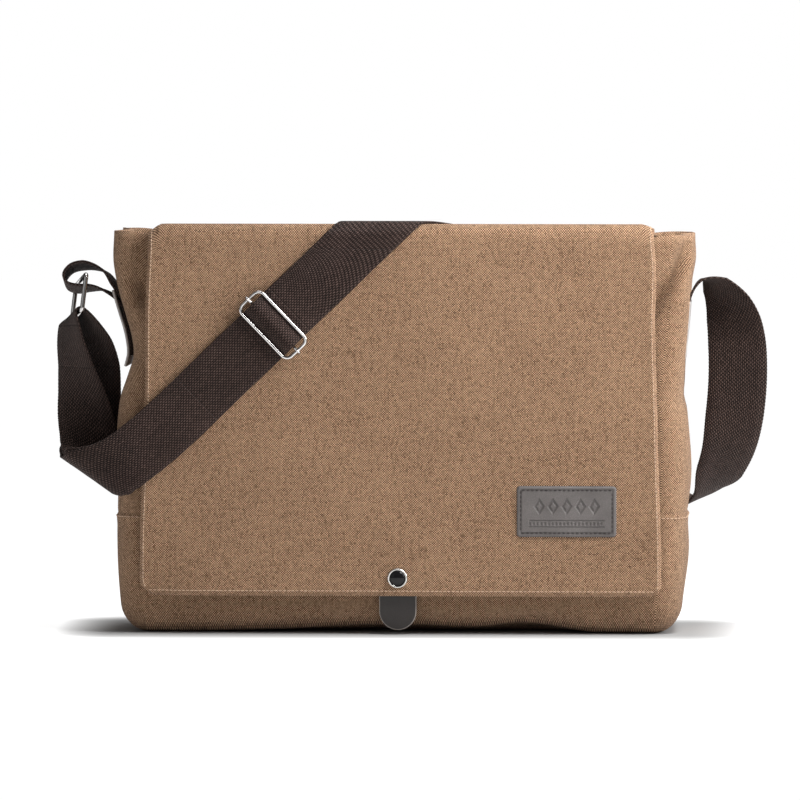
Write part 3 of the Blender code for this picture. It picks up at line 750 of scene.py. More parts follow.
def flap_cells(first, last, rows, depth, inset, end_inset=0.0):
    """A place function for the stretch of the flap between two distances."""
    def place(i, j):
        s = first + (last - end_inset - first) * i / rows
        across = -math.cos(math.pi * j / FLAP_COLUMNS) * 0.25 + (2 * j / FLAP_COLUMNS - 1) * 0.75
        point = flap_point(s, across, depth, inset)
        rim = min(FLAP_LENGTH - s, 163 * (1 - abs(across)))
        return point, (point.x, s, 1 - ease(rim, 0.5, 3.5))

    return place


# %% [markdown]
# The flap's two halves, with the lining behind each.

# %% Flap canvas and lining
OVER_REAR = {"start": (0, 0.047, 0.2545), "end": (0, 0.036, 0.2605)}
OVER_FRONT = {"start": (0, -0.040, 0.2605), "end": (0, -0.0525, 0.2500)}
FLAP_WIDTHS = {"rear": 0.325, "front": 0.334}
BACKING_TRIM = 0.005


def bend_flap(made, half):
    """Bake a piece's transform into its mesh, the same for either half."""
    if half == "rear":
        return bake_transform(made)
    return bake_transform(made)


for half, first, last, rows in (("rear", 0, ROOF_MIDDLE, 40), ("front", ROOF_MIDDLE, FLAP_LENGTH, 100)):
    outer_cells = flap_cells(first, last, rows, 0, 0)
    cloth = sheet(f"flap_{half}_canvas", rows, FLAP_COLUMNS, outer_cells, [canvas], CANVAS, inward=1.0)
    end_inset = 3.0 if half == "front" else 0.0
    inner_cells = flap_cells(first, last, rows, CANVAS + 0.35, 2.5, end_inset)
    back = sheet(f"flap_{half}_backing", rows, FLAP_COLUMNS, inner_cells, [lining_cloth], 0.8, inward=1.0)
    if half == "rear":
        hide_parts("flap_back_strip", "flap_top_panel")
        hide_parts("flap_top_lining")
    else:
        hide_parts("flap_front_panel")
        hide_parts("flap_front_lining")
    wide = FLAP_WIDTHS[half]
    long = (last - first) * MM
    held, under = ("laid", "body_skin") if half == "rear" else ("hung", "flap_rear_canvas")
    back_flat = (wide - BACKING_TRIM, long - end_inset * MM)
    bend_flap(cloth, half)
    bend_flap(back, half)
    print("flap", half, len(cloth.data.vertices), "points")

# %% [markdown]
# ## The strap's route
# The webbing is one length: from under the leather on the right gusset, out and down, up the back,
# over the roof, down across the flap, through the slider, round the loop at the lower left, up to the
# ring and back, and to the slider's bar. Its stations are listed, each with the direction of
# the line across the webbing. They follow the imported solids, apart from a few by the right gusset and
# the ring, which are moved or turned by a little to lie as real webbing does.

# %% Strap stations
SLIDER_CENTRE = Vector((-81.3, -58.6, 198.4))
ALONG_STRAP = Vector((0.72, 0.0, 0.694)).normalized()
ACROSS_STRAP = Vector((0.694, 0.0, -0.72)).normalized()
OUTWARD = Vector((0.0, -1.0, 0.0))
RING_TOP = Vector((-209.1, -2.4, 224.9))
RING_AXIS = Vector((-0.235, 0.95, -0.2)).normalized()
RING_DOWN = Vector((-0.1, -0.23, -0.968))
WEB_WIDTH, WEB_THICK = 38.0, 1.5
LOOP_LAP = 3.0
RING_SIDE = (0.235, -0.95, 0.2)
LOOP_SIDE = (0.05, -0.98, 0.18)
FACE_ON = (0.694, 0.0, -0.72)
RIGHT_RUN = [
    ((181.3, 0, 190), (0, -1, 0)),
    ((182.3, 0, 208), (0, -1, 0)),
    ((186.5, 0, 220.5), (0, -1, 0)),
    ((192.5, 0.5, 226.2), (0.05, -1, 0.04)),
    ((199.6, 2, 222.4), (0.4, -0.88, 0.25)),
    ((207.4, 4.5, 212.4), (0.7, -0.65, 0.18)),
    ((211.8, 7, 199.5), (0.92, -0.38, 0.06)),
    ((214.0, 10.5, 182.0), (1, -0.12, 0)),
    ((214.2, 15, 160.0), (1, 0, 0)),
    ((212.3, 21.5, 138.0), (0.97, 0.12, -0.08)),
    ((208.5, 31, 116.0), (0.86, 0.45, -0.15)),
    ((202.5, 43.5, 100.0), (0.68, 0.66, -0.2)),
    ((195.0, 58.5, 86.5), (0.45, 0.88, 0.05)),
    ((182.5, 67.5, 78.5), (0.25, 0.95, 0.1)),
]
BACK_RUN = [
    ((171.0, 68, 83.0), (0.25, 0.95, 0.2)),
    ((164.5, 64.5, 96.0), (0.6, 0.7, 0.4)),
    ((160.0, 59.0, 114.0), (0.84, 0.35, 0.4)),
    ((154.5, 53.8, 138.0), (0.93, 0.1, 0.35)),
    ((147.0, 50.2, 165.0), (0.93, 0, 0.37)),
    ((136.0, 49.2, 192.0), (0.9, 0, 0.44)),
    ((121.5, 49.2, 219.0), (0.83, 0, 0.56)),
]
BACK_STRAIGHT = [(262, 0.6), (250, 1)]
TOP_STRAIGHT = [(240, 1), (237, 1), (234, 1), (231, 1), (228, 1), (161, 1), (95, 1), (92, 1)]
FRONT_STRAIGHT = [(88.5, 1), (85, 1), (81.5, 1), (70, 1), (45, 0.5), (24, 0)]
LOWER_LOOP = [
    ((-146.0, -54.3, 136.0), FACE_ON),
    ((-163.0, -54.6, 121.2), (0.71, 0, -0.7)),
    ((-177.5, -54.4, 110.6), (0.74, -0.02, -0.67)),
    ((-188.5, -51.0, 105.5), (0.78, -0.05, -0.62)),
    ((-197.5, -46.5, 103.8), (0.8, -0.05, -0.6)),
    ((-201.5, -38.0, 104.5), (0.83, -0.05, -0.55)),
    ((-202.5, -28.0, 107.5), (0.87, -0.06, -0.48)),
    ((-203.0, -18.5, 113.0), (0.91, -0.1, -0.4)),
]
OUTER_RISE = [
    ((-201.5, -4.5, 120.0), (0.93, -0.14, -0.33)),
    ((-200.8, 3.5, 136.0), (0.9, -0.42, -0.1)),
    ((-200.3, 6.5, 152.0), (0.88, -0.47, 0)),
    ((-200.3, 4.5, 170.0), (0.85, -0.52, 0)),
    ((-202.0, -1.5, 186.0), (0.72, -0.69, 0)),
    ((-205.5, -6.5, 196.5), (0.5, -0.86, 0.08)),
]
RING_PASS = [
    ((-208.1, -8.2, 202.6), RING_SIDE),
    ((-211.5, -8.5, 204.6), RING_SIDE),
    ((-214.9, -8.6, 202.6), RING_SIDE),
]
INNER_RISE = [
    ((-216.2, -9, 196.5), (0.42, -0.9, 0.06)),
    ((-215.0, -8, 184.0), (0.55, -0.83, 0)),
    ((-211.8, -7, 169.0), (0.68, -0.73, 0)),
    ((-208.2, -7, 152.0), (0.85, -0.52, 0)),
    ((-205.4, -8.5, 136.0), (0.97, -0.23, -0.07)),
    ((-203.6, -12.0, 122.5), (0.94, -0.15, -0.3)),
]
FRONT_PLANE, BACK_PLANE, ROOF_PLANE = -54.35, 49.2, 260.6
FOLD_RADIUS = 5.5
FOLD_START = ROOF_PLANE - FOLD_RADIUS
FOLD_LENGTH = FOLD_RADIUS * math.pi / 2
ROOF_LENGTH = BACK_PLANE - FRONT_PLANE - 2 * FOLD_RADIUS
SLIDER_HUMP = [(14, -2.9), (9.4, -2.5), (6, 0.2), (3, 2.9), (0, 4.25), (-3, 2.9), (-6, 0.2), (-9.4, -2.5)]
BAR_TAIL = [(-16, -4.3), (-12, -4.3), (-8, -4.1), (-4.5, -3.0)]
BAR_WRAP_RADIUS = 2.15

# %% [markdown]
# Where it lies on the flap, the webbing runs straight on the unrolled cloth, so it is laid out flat
# and then rolled over the folds. A curve through the stations is read at even steps of one weave row.

# %% Route helpers


def unroll(point, side):
    """A station behind the bag, carried to the plane of the front as if the surface were flat."""
    x, y, z = point
    reach = FOLD_START + 2 * FOLD_LENGTH + ROOF_LENGTH
    flat = (x, FRONT_PLANE + BACK_PLANE - y, reach + FOLD_START - z)
    return flat, (side[0], -side[1], -side[2])


def roll(flat):
    """A point of the unrolled surface, laid over the front, the roof and the back."""
    x, rise, run = flat.x, FRONT_PLANE - flat.y, flat.z - FOLD_START
    if run <= 0:
        return flat.copy()
    radius = FOLD_RADIUS + rise
    front, back = FRONT_PLANE + FOLD_RADIUS, BACK_PLANE - FOLD_RADIUS
    if run < FOLD_LENGTH:
        turn = run / FOLD_RADIUS
        y, z = front - radius * math.cos(turn), FOLD_START + radius * math.sin(turn)
    elif run < FOLD_LENGTH + ROOF_LENGTH:
        y, z = front + run - FOLD_LENGTH, FOLD_START + radius
    elif run < 2 * FOLD_LENGTH + ROOF_LENGTH:
        turn = (run - FOLD_LENGTH - ROOF_LENGTH) / FOLD_RADIUS
        y, z = back + radius * math.sin(turn), FOLD_START + radius * math.cos(turn)
    else:
        y, z = back + radius, FOLD_START - (run - 2 * FOLD_LENGTH - ROOF_LENGTH)
    return Vector((x, y, z + crown(y, z)))


def smooth_route(route, spans):
    """Points and cross directions on the smooth curve through a route's stations."""
    points = [Vector(station[0]) for station in route]
    sides = [Vector(station[1]).normalized() for station in route]
    along = running_lengths(points)
    most = len(route) - 1
    slopes = []
    for i in range(len(route)):
        a, b = max(i - 1, 0), min(i + 1, most)
        slopes.append((points[b] - points[a]) / (along[b] - along[a]))
    found = []
    for i in range(most):
        span = along[i + 1] - along[i]
        for k in range(spans):
            t = k / spans
            point = points[i] * (1 - 3 * t**2 + 2 * t**3) + points[i + 1] * (3 * t**2 - 2 * t**3)
            point += slopes[i] * span * (t - 2 * t**2 + t**3) + slopes[i + 1] * span * (t**3 - t**2)
            found.append((point, sides[i].lerp(sides[i + 1], t).normalized()))
    found.append((points[-1], sides[-1]))
    return found


def tangent(route, i):
    """The direction of a route at one of its points."""
    return (route[min(i + 1, len(route) - 1)][0] - route[max(i - 1, 0)][0]).normalized()


def offset_layer(route, distance):
    """The same strip moved off its own face, for webbing laid on webbing."""
    moved = []
    for i, (point, side) in enumerate(route):
        face = tangent(route, i).cross(side).normalized()
        moved.append((tuple(point + face * distance), tuple(side)))
    return moved


def on_slider(distance, height):
    """A point by its distance up the strap from the slider's middle and its height over the plane."""
    return SLIDER_CENTRE + ALONG_STRAP * distance + OUTWARD * height


def straight(distance, turn):
    """A station on the straight stretch over the flap, in the unrolled plane."""
    point = SLIDER_CENTRE + ALONG_STRAP * distance
    return (point.x, FRONT_PLANE, point.z), tuple(Vector(FACE_ON).lerp(Vector((1, 0, 0)), turn))


def bar_turn():
    """The end of the webbing, turned round the slider's centre bar."""
    turns = [math.radians(-90 + 40 * k) for k in range(7)]
    radius = BAR_WRAP_RADIUS
    return [(on_slider(radius * math.cos(t), radius * math.sin(t)), FACE_ON) for t in turns]


# %% [markdown]
# ## Webbing pieces
# A strap has thickness, rounded selvedges and a scalloped edge where each weft turns. So its section
# is a flat rounded outline, swept along the route, with its width changing by a hair at each row.
# Each piece ends where both neighbours follow the same part of the bag. Webbing between the flap and
# the ring can't slide as the real strap would.

# %% Webbing sweep
ROW = 1.15
SCALLOP = 0.22


def web_section(width, thickness):
    """The webbing's outline: (across, height) points round it, flat faces and round edges."""
    half, up = width / 2, thickness / 2
    top = [(-half + up * 0.6, up), (-half * 0.62, up * 1.06), (-half * 0.3, up), (0, up * 1.04)]
    top += [(half * 0.3, up), (half * 0.62, up * 1.06), (half - up * 0.6, up)]
    return top + [(half, up * 0.45), (half, -up * 0.45)] + [(x, -y) for x, y in top[::-1]] + [
        (-half, -up * 0.45),
        (-half, up * 0.45),
    ]


def even_steps(route, step):
    """The route read again at even distances, with the distance of each point."""
    lengths = running_lengths([point for point, _ in route])
    count = max(2, round(lengths[-1] / step))
    found, i = [], 0
    for k in range(count + 1):
        want = lengths[-1] * k / count
        while i < len(route) - 2 and lengths[i + 1] < want:
            i += 1
        t = (want - lengths[i]) / (lengths[i + 1] - lengths[i])
        point = route[i][0].lerp(route[i + 1][0], t)
        found.append((point, route[i][1].lerp(route[i + 1][1], t).normalized(), want))
    return found


def sweep(name, steps, section, finish, laid=lambda point: point, scallop=SCALLOP):
    """A strip of webbing or leather swept along even steps, closed at both ends."""
    count = len(section)
    points, cloth_rows = [], []
    for i, (point, side, distance) in enumerate(steps):
        along = (steps[min(i + 1, len(steps) - 1)][0] - steps[max(i - 1, 0)][0]).normalized()
        side = side / along.cross(side).length
        face = along.cross(side).normalized()
        bite = scallop if i % 2 else 0.0
        for across, height in section:
            reach = across - math.copysign(bite, across) * (abs(across) / section[7][0]) ** 8
            points.append(laid(point + side * reach - face * height))
        cloth_rows.append(distance)
    faces, cloth = [], []
    around = [0.0]
    for (a, b), (c, d) in zip(section, section[1:] + section[:1]):
        around.append(around[-1] + math.hypot(c - a, d - b))
    for i in range(len(steps) - 1):
        for j in range(count):
            faces.append([i * count + j, i * count + (j + 1) % count,
                          (i + 1) * count + (j + 1) % count, (i + 1) * count + j])
            for row, column in ((i, j), (i, j + 1), (i + 1, j + 1), (i + 1, j)):
                cloth.append((around[column] + section[0][0], cloth_rows[row], 0))
    last = (len(steps) - 1) * count
    faces += [list(range(count))[::-1], [last + j for j in range(count)]]
    cloth += [(section[j][0], cloth_rows[0], 0) for j in range(count)][::-1]
    cloth += [(section[j][0], cloth_rows[-1], 0) for j in range(count)]
    made = link(name, mesh_of(name, points, faces, cloth))
    made.data.materials.append(finish)
    length = steps[-1][2] - steps[0][2]
    return made, length


strap_runs = [
    ("strap_right_run", [unroll(*station) for station in RIGHT_RUN]),
    ("strap_back_run", [unroll(*s) for s in BACK_RUN] + [straight(*s) for s in BACK_STRAIGHT]),
    ("strap_top_run", [straight(*station) for station in TOP_STRAIGHT]),
    ("strap_front_run", [straight(*station) for station in FRONT_STRAIGHT]),
    ("strap_slider_hump", [(on_slider(d, h), FACE_ON) for d, h in SLIDER_HUMP]),
    ("strap_lower_run", [(on_slider(d, -2.5), FACE_ON) for d in (-14, -40, -68)]),
    ("strap_outer_loop", offset_layer(smooth_route(LOWER_LOOP, 1), LOOP_LAP)),
    ("strap_outer_rise", OUTER_RISE),
    ("strap_ring_pass", RING_PASS),
    ("strap_inner_rise", INNER_RISE),
    ("strap_inner_loop", LOWER_LOOP[::-1]),
    ("strap_inner_run", [(on_slider(d, -4.3), FACE_ON) for d in (-68, -40)]),
    ("strap_bar_wrap", [(on_slider(d, h), FACE_ON) for d, h in BAR_TAIL] + bar_turn()),
]
SPANS = 8
strap_route = smooth_route([station for _, run in strap_runs for station in run], SPANS)
strap_steps = even_steps(strap_route, ROW)
station_at, count = {}, 0
for name, run in strap_runs:
    station_at[name] = count
    count += len(run)
route_lengths = running_lengths([point for point, _ in strap_route])
print("webbing", round(route_lengths[-1]), "mm long in", len(strap_steps), "rows")

# %% [markdown]
# The cuts between pieces are given by run and station. Each piece names the solids it stands for and
# how it follows the bag: it rides on one body, or it names two bodies and stays where it is made.

# %% Strap pieces


def route_distance(run, station):
    """How far along the webbing a station of a run is."""
    return route_lengths[min((station_at[run] + station) * SPANS, len(route_lengths) - 1)]


def metres(point):
    """A point of the route as blend() takes it."""
    return tuple(Vector(point) * MM)


LOOP_START, LOOP_END = metres((-205, -6, 118)), metres((-168, -50, 118))
roof_middle = (route_distance("strap_top_run", 4) + route_distance("strap_top_run", 6)) / 2
OVER_LOOP = ("flap_top", "flap_front", LOOP_START, LOOP_END)
TO_SLIDER = ("flap_front", "slider", metres(on_slider(66, 0)), metres(on_slider(20, 0)))
# name, where it ends, the solids that it stands for, what it lies on, and what it follows
pieces = [
    ("webbing_right", ("strap_back_run", 3), ["strap_right_run"], "body_skin", ("bag",)),
    ("webbing_back", roof_middle, ["strap_back_run"], "flap_rear_canvas",
     ("bag", "flap_top", OVER_REAR["start"], OVER_REAR["end"])),
    ("webbing_brow", ("strap_front_run", 3), ["strap_top_run"], "flap_rear_canvas",
     ("flap_top", "flap_front", OVER_FRONT["start"], OVER_FRONT["end"])),
    ("webbing_above_slider", ("strap_slider_hump", 0), ["strap_front_run"], "flap_front_canvas", TO_SLIDER),
    ("webbing_hump", ("strap_lower_run", 0), ["strap_slider_hump"], "slider_bar_wire", ("slider",)),
    ("webbing_below_slider", ("strap_lower_run", 2), ["strap_lower_run"], "flap_front_canvas",
     ("slider", "flap_front", metres(on_slider(-20, 0)), metres(on_slider(-62, 0)))),
    ("webbing_outer_loop", ("strap_outer_rise", 0), ["strap_outer_loop"], "webbing_inner_loop", OVER_LOOP),
    ("webbing_outer_rise", ("strap_outer_rise", 3), [], "webbing_outer_loop",
     ("bag", "flap_top", metres((-200, 5, 160)), metres((-206, -6, 124)))),
    ("webbing_outer_hang", ("strap_ring_pass", 0), ["strap_outer_rise"], "ring_wire",
     ("bag", "left_ring", metres((-200, 4, 174)), metres((-206, -7, 199)))),
    ("webbing_ring_pass", ("strap_inner_rise", 0), ["strap_ring_pass"], "ring_wire", ("left_ring",)),
    ("webbing_inner_hang", ("strap_inner_rise", 2), ["strap_inner_rise"], "ring_wire",
     ("left_ring", "bag", metres((-217, -9, 196)), metres((-212, -7, 171)))),
    ("webbing_inner_rise", ("strap_inner_loop", 0), [], "webbing_inner_loop",
     ("bag", "flap_top", metres((-211, -6, 160)), metres((-204, -12, 124)))),
    ("webbing_inner_loop", ("strap_inner_run", 0), ["strap_inner_loop"], "flap_front_canvas", OVER_LOOP),
    ("webbing_inner_run", ("strap_bar_wrap", 0), ["strap_inner_run"], "flap_front_canvas",
     ("flap_front", "slider", metres(on_slider(-62, 0)), metres(on_slider(-20, 0)))),
    ("webbing_bar_wrap", route_lengths[-1], ["strap_bar_wrap"], "slider_bar_wire", ("slider_bar",)),
]
section = web_section(WEB_WIDTH, WEB_THICK)
first, laid_on = 0, []
for name, end, nodes, under, follows in pieces:
    end = route_distance(*end) if isinstance(end, tuple) else end
    last = max(k for k, step in enumerate(strap_steps) if step[2] <= end + ROW / 2)
    made, length = sweep(name, strap_steps[first : last + 1], section, webbing, roll)
    if nodes:
        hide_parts(*nodes)
    laid_on.append((made, length, under))
    if len(follows) == 1:
        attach(made, follows[0])
    else:
        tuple(follows[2])
        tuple(follows[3])
        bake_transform(made)
    print(name, round(length), "mm")
    first = last

# %% [markdown]
# ## Anchors
# A doubled loop of webbing is sewn to the left gusset and holds the ring, and on the right the strap
# itself is sewn down. A strip of pale leather covers each end. The left ones follow the gusset, which
# the strap pulls in below the ring.

# %% Loop and leather strips


def gusset_x(way, z):
    """The middle of a gusset's outer face."""
    outline = left_outline(z) if way < 0 else right_outline(z)
    return way * (outline + side_push(way, 0, z))


def on_gusset(way, z, off):
    """A station lying flat on a gusset, off its face."""
    return (gusset_x(way, z) + way * off, 0, z), (0, way, 0)


LEFT_LOOP = [on_gusset(-1, z, 1.0) for z in (176, 188, 200, 212)] + [
    ((-188.6, 0, 223.5), (0, -1, 0)),
    ((-193.0, -0.3, 229.5), (0.02, -1, 0.06)),
    ((-199.5, -1, 233.0), (0.04, -0.99, 0.12)),
    ((-207.4, -2.4, 234.3), LOOP_SIDE),
    ((-215.3, -3.4, 232.3), LOOP_SIDE),
    ((-219.8, -4.0, 226.5), LOOP_SIDE),
    ((-217.8, -4.0, 221.3), LOOP_SIDE),
    ((-211.0, -3.2, 219.3), LOOP_SIDE),
    ((-203.0, -2.0, 219.8), (0.04, -0.99, 0.14)),
    ((-195.0, -0.6, 218.5), (0.02, -1, 0.06)),
] + [on_gusset(-1, z, 2.9) for z in (210, 200, 188, 177)]
loop_steps = even_steps(smooth_route(LEFT_LOOP, SPANS), ROW)
loop, length = sweep("ring_loop_webbing", loop_steps, section, webbing)
settle(loop, "webbing", "bag", "left_loop")
length * MM

strip_section = web_section(WEB_WIDTH + 4, 1.5)
for side, way, layers, low, high in (("left", -1, 2, 170, 219), ("right", 1, 1, 176, 212)):
    off = layers * (WEB_THICK + 0.35) + 1.3
    stations = [on_gusset(way, low + (high - low) * k / 6, off) for k in range(7)]
    strip_steps = even_steps(smooth_route(stations, SPANS), 1.5)
    strip, _ = sweep(f"{side}_leather_strip", strip_steps, strip_section, strip_leather, scallop=0.0)
    settle(strip, "leather", "bag", f"{side}_leather")
print("anchors done")

# %% [markdown]
# ## Wire hardware
# The ring, the slider's frame and its centre bar are bent wire. A curve with a round bevel is the
# wire itself, with the bends as real arcs.

# %% Ring and slider


def rounded_loop(across, down, length, height, corner, steps=10):
    """A rounded rectangle of points about its centre."""
    points = []
    for turn, (sx, sy) in enumerate(((1, -1), (1, 1), (-1, 1), (-1, -1))):
        for k in range(steps + 1):
            angle = math.radians(-90 + 90 * turn + 90 * k / steps)
            x = sx * (length / 2 - corner) + corner * math.cos(angle)
            y = sy * (height / 2 - corner) + corner * math.sin(angle)
            points.append(across * x + down * y)
    return points


def wire(name, points, radius, node, body, closed=True):
    """A bent wire."""
    curve = bpy.data.curves.new(name, "CURVE")
    curve.dimensions = "3D"
    curve.bevel_depth = radius * MM
    curve.bevel_resolution = 6
    curve.use_fill_caps = True
    spline = curve.splines.new("POLY")
    spline.points.add(len(points) - 1)
    for point, place in zip(spline.points, points):
        point.co = (*(place * MM), 1)
    spline.use_cyclic_u = closed
    curve.materials.append(black_nickel)
    return settle(link(name, curve), "wire_metal", body, node)


RING_WIDTH, RING_DROP, RING_CORNER, RING_WIRE = 45.0, 24.0, 2.5, 1.5
SLIDER_WIDTH, SLIDER_HEIGHT, SLIDER_CORNER, SLIDER_WIRE = 45.3, 18.8, 4.5, 1.1
BAR_WIRE = 0.8
HOOK = 2.2
REACH = SLIDER_WIDTH / 2

ring_loop = rounded_loop(RING_AXIS, RING_DOWN, RING_WIDTH, RING_DROP, RING_CORNER)
ring_points = [RING_TOP + RING_DOWN * (RING_DROP / 2) + p for p in ring_loop]
wire("ring_wire", ring_points, RING_WIRE, "left_ring", "left_ring")
slider_loop = rounded_loop(ACROSS_STRAP, ALONG_STRAP, SLIDER_WIDTH, SLIDER_HEIGHT, SLIDER_CORNER)
slider_points = [SLIDER_CENTRE + p for p in slider_loop]
wire("slider_wire", slider_points, SLIDER_WIRE, "slider_frame", "slider")
bar_points = []
for way in (-1, 1):
    turns = [math.radians(200 - 10 * k) for k in range(21)]
    hook = [
        ACROSS_STRAP * way * (REACH + HOOK * math.sin(t)) + OUTWARD * HOOK * math.cos(t)
        for t in (turns if way < 0 else turns[::-1])
    ]
    inner = ACROSS_STRAP * way * (REACH - 4.0)
    bar_points += hook + [inner] if way < 0 else [inner] + hook
bar_points = [SLIDER_CENTRE + p for p in bar_points]
wire("slider_bar_wire", bar_points, BAR_WIRE, "slider_bar", "slider_bar", closed=False)
for made, length, under in laid_on:
    length * MM
print("wire hardware done")

# %% [markdown]
# ## Snap
# The snap's parts are turned, so each is a profile spun about one line. Small hardware shows its
# quality in its rounded rims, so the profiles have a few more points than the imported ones.

# %% Snap parts


def turned(name, profile, y, finish, node, body, steps=56):
    """A round part on the snap's axis from (radius, height out of y) points, outside first."""
    points, faces = [], []
    for k in range(steps):
        angle = 2 * math.pi * k / steps
        for radius, height in profile:
            x, z = SNAP_X + radius * math.cos(angle), SNAP_Z + radius * math.sin(angle)
            points.append((x, y - height, z))
    rim = len(profile)
    for k in range(steps):
        for i in range(rim - 1):
            a, b = k * rim + i, (k + 1) % steps * rim + i
            faces.append((a, a + 1, b + 1, b))
    mesh = mesh_of(name, points, faces)
    mesh.materials.append(finish)
    made = link(name, mesh)
    weld = made.modifiers.new("weld", "WELD")
    weld.merge_threshold = 0.00001
    finished(made)
    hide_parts(node)
    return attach(made, body)


SNAP_X, SNAP_Z = -2.0, 36.5
snap_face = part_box("snap_cap")[1].y / MM
cap_profile = [
    (5.0, 0.9), (5.05, 1.2), (5.3, 1.5), (5.75, 1.6), (6.15, 1.4), (6.45, 0.9), (6.55, 0.4), (6.55, 0.0),
    (0.01, 0.0),
]
dome_profile = [
    (0.001, 2.65), (1.2, 2.6), (2.4, 2.42), (3.5, 2.08), (4.4, 1.6), (5.1, 0.95), (5.1, 0.4), (0.001, 0.4),
]
turned("cap_rim", cap_profile, snap_face, bright_nickel, "snap_cap", "flap_front")
# the dome's black colour is a painted dark reflection
turned("cap_dome", dome_profile, snap_face, dome_painted_reflection, "snap_dome", "flap_front")
for node in ("snap_post", "snap_socket", "snap_stud", "stud_washer"):
    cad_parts[node].data.materials.clear()
    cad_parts[node].data.materials.append(bright_nickel)


def board_place(i, j):
    x, y = -150 + 300 * j / 20, -26 + 52 * i / 8
    return Vector((x, y, 9.6)), (x, y, 0)


board = sheet("stiffener_board", 8, 20, board_place, [board_grey], 2.4)
settle(board, "board", "bag", "base_board")

# %% [markdown]
# ## Tab
# The leather tab is sewn behind the flap and carries the snap. It is a flat tongue with a round end,
# and its cut edge is painted paler than its face.

# %% Tab
TAB_LEFT, TAB_RIGHT, TAB_LOW, TAB_HIGH, TAB_ROUND = -14.0, 10.0, 3.0, 46.0, 11.9


def tongue_outline(inset):
    """The tab from the front, round at the bottom."""
    middle = (TAB_LEFT + TAB_RIGHT) / 2
    radius = TAB_ROUND - inset
    points = [(TAB_RIGHT - inset, TAB_HIGH - inset), (TAB_RIGHT - inset, 32.0)]
    for k in range(25):
        angle = -math.pi * k / 24
        points.append((middle + radius * math.cos(angle), TAB_LOW + TAB_ROUND + radius * math.sin(angle)))
    return points + [(TAB_LEFT + inset, 32.0), (TAB_LEFT + inset, TAB_HIGH - inset)]


def tab_part():
    """Front face, rounded paler edge and back face, as rings of one outline."""
    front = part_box("snap_tab")[0].y / MM
    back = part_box("snap_tab")[1].y / MM
    rings = [(1.6, front), (0.55, front), (0.3, front + 0.12), (0.0, front + 0.45)]
    rings += [(0.0, back - 0.4), (0.5, back)]
    outline = tongue_outline(0)
    count = len(outline)
    points = [(x, y, z) for inset, y in rings for x, z in tongue_outline(inset)]
    faces = [list(range(count))]
    for ring in range(len(rings) - 1):
        for j in range(count):
            k = (j + 1) % count
            here, after = ring * count, (ring + 1) * count
            faces.append([here + k, here + j, after + j, after + k])
    last = (len(rings) - 1) * count
    faces.append([last + j for j in range(count)][::-1])
    mesh = mesh_of("snap_tab_leather", points, faces)
    for slot in (tab_leather, edge_paint):
        mesh.materials.append(slot)
    for face in mesh.polygons:
        ring = (face.index - 1) // count
        face.material_index = 1 if 0 < face.index <= (len(rings) - 1) * count and 1 <= ring <= 3 else 0
    mesh.set_sharp_from_angle(angle=math.radians(50))
    return link("snap_tab_leather", mesh)


tab = tab_part()
settle(tab, "leather", "flap_front", "snap_tab")
print("tab and snap done")

# %% [markdown]
# ## Patch
# The patch is a small rectangle of leather pressed with a plain pattern: a row of lozenges over a
# ruled band. It is generic. The pressing is real relief, so the patch is a fine grid whose height
# comes from a formula, and its edges roll over.

# %% Patch
PATCH_X, PATCH_Z = 106.0, 79.5
PATCH_HALF_W, PATCH_HALF_H = 31.8, 16.3
PATCH_THICK = 1.45


def pressed(u, v):
    """How deep the pattern is pressed at a place on the patch, from 0 to 1."""
    groove = min(PATCH_HALF_W - abs(u), PATCH_HALF_H - abs(v))
    frame_line = math.exp(-(((groove - 2.6) / 0.45) ** 2)) * 0.6
    cell = (u + 22.0) / 8.8
    local = (cell - math.floor(cell) - 0.5) * 8.8
    rhomb = abs(local) / 3.6 + abs(v - 3.4) / 5.2
    row = 1.0 if abs(u) < 22.0 else 0.0
    lozenge = row * (ease(1.05 - rhomb, 0, 0.14) - ease(0.58 - rhomb, 0, 0.14) * 0.9)
    rule = 1.0 if abs(u) < 24.0 and abs(abs(v + 7.8) - 2.0) < 0.32 else 0.0
    tick = 1.0 if abs(u) < 24.0 and abs(v + 7.8) < 1.1 and (u / 2.4) % 1 < 0.45 else 0.0
    return max(frame_line, lozenge, rule * 0.8, tick * 0.7)


def flap_face_y(x, z):
    """The outer face of the flap."""
    across = x / (flap_left(z) if x < 0 else flap_right(z))
    return flap_point(FLAP_LENGTH - (z - HEM), across, 0).y


PATCH_COLUMNS, PATCH_ROWS = 190, 98


def patch_place(i, j):
    u = PATCH_HALF_W * (2 * j / PATCH_COLUMNS - 1)
    v = PATCH_HALF_H * (2 * i / PATCH_ROWS - 1)
    edge = min(PATCH_HALF_W - abs(u), PATCH_HALF_H - abs(v))
    corner_x, corner_z = PATCH_HALF_W - 2.4, PATCH_HALF_H - 2.4
    x, z = u, v
    if abs(u) > corner_x and abs(v) > corner_z:
        du, dv = abs(u) - corner_x, abs(v) - corner_z
        share = max(du, dv) / max(math.hypot(du, dv), 1e-6)
        x, z = math.copysign(corner_x + du * share, u), math.copysign(corner_z + dv * share, v)
    roll_over = 0.75 * (1 - ease(edge, 0, 1.1))
    height = PATCH_THICK - roll_over - 0.8 * pressed(u, v)
    x, z = PATCH_X + x, PATCH_Z + z
    return Vector((x, flap_face_y(x, z) - height, z)), (x, z, 0)


patch = sheet("patch", PATCH_ROWS, PATCH_COLUMNS, patch_place, [patch_leather], 0.55)
settle(patch, "leather", "flap_front", "label_patch")
print("patch", len(patch.data.vertices), "points")

# %% [markdown]
# ## Stitches
# Stitching is what makes sewn work look sewn. Every stitch is a short bent sausage of thread, sunk at
# both ends. A line of them is laid along points on the cloth, lifted off it along its own normal.

# %% Stitch maker


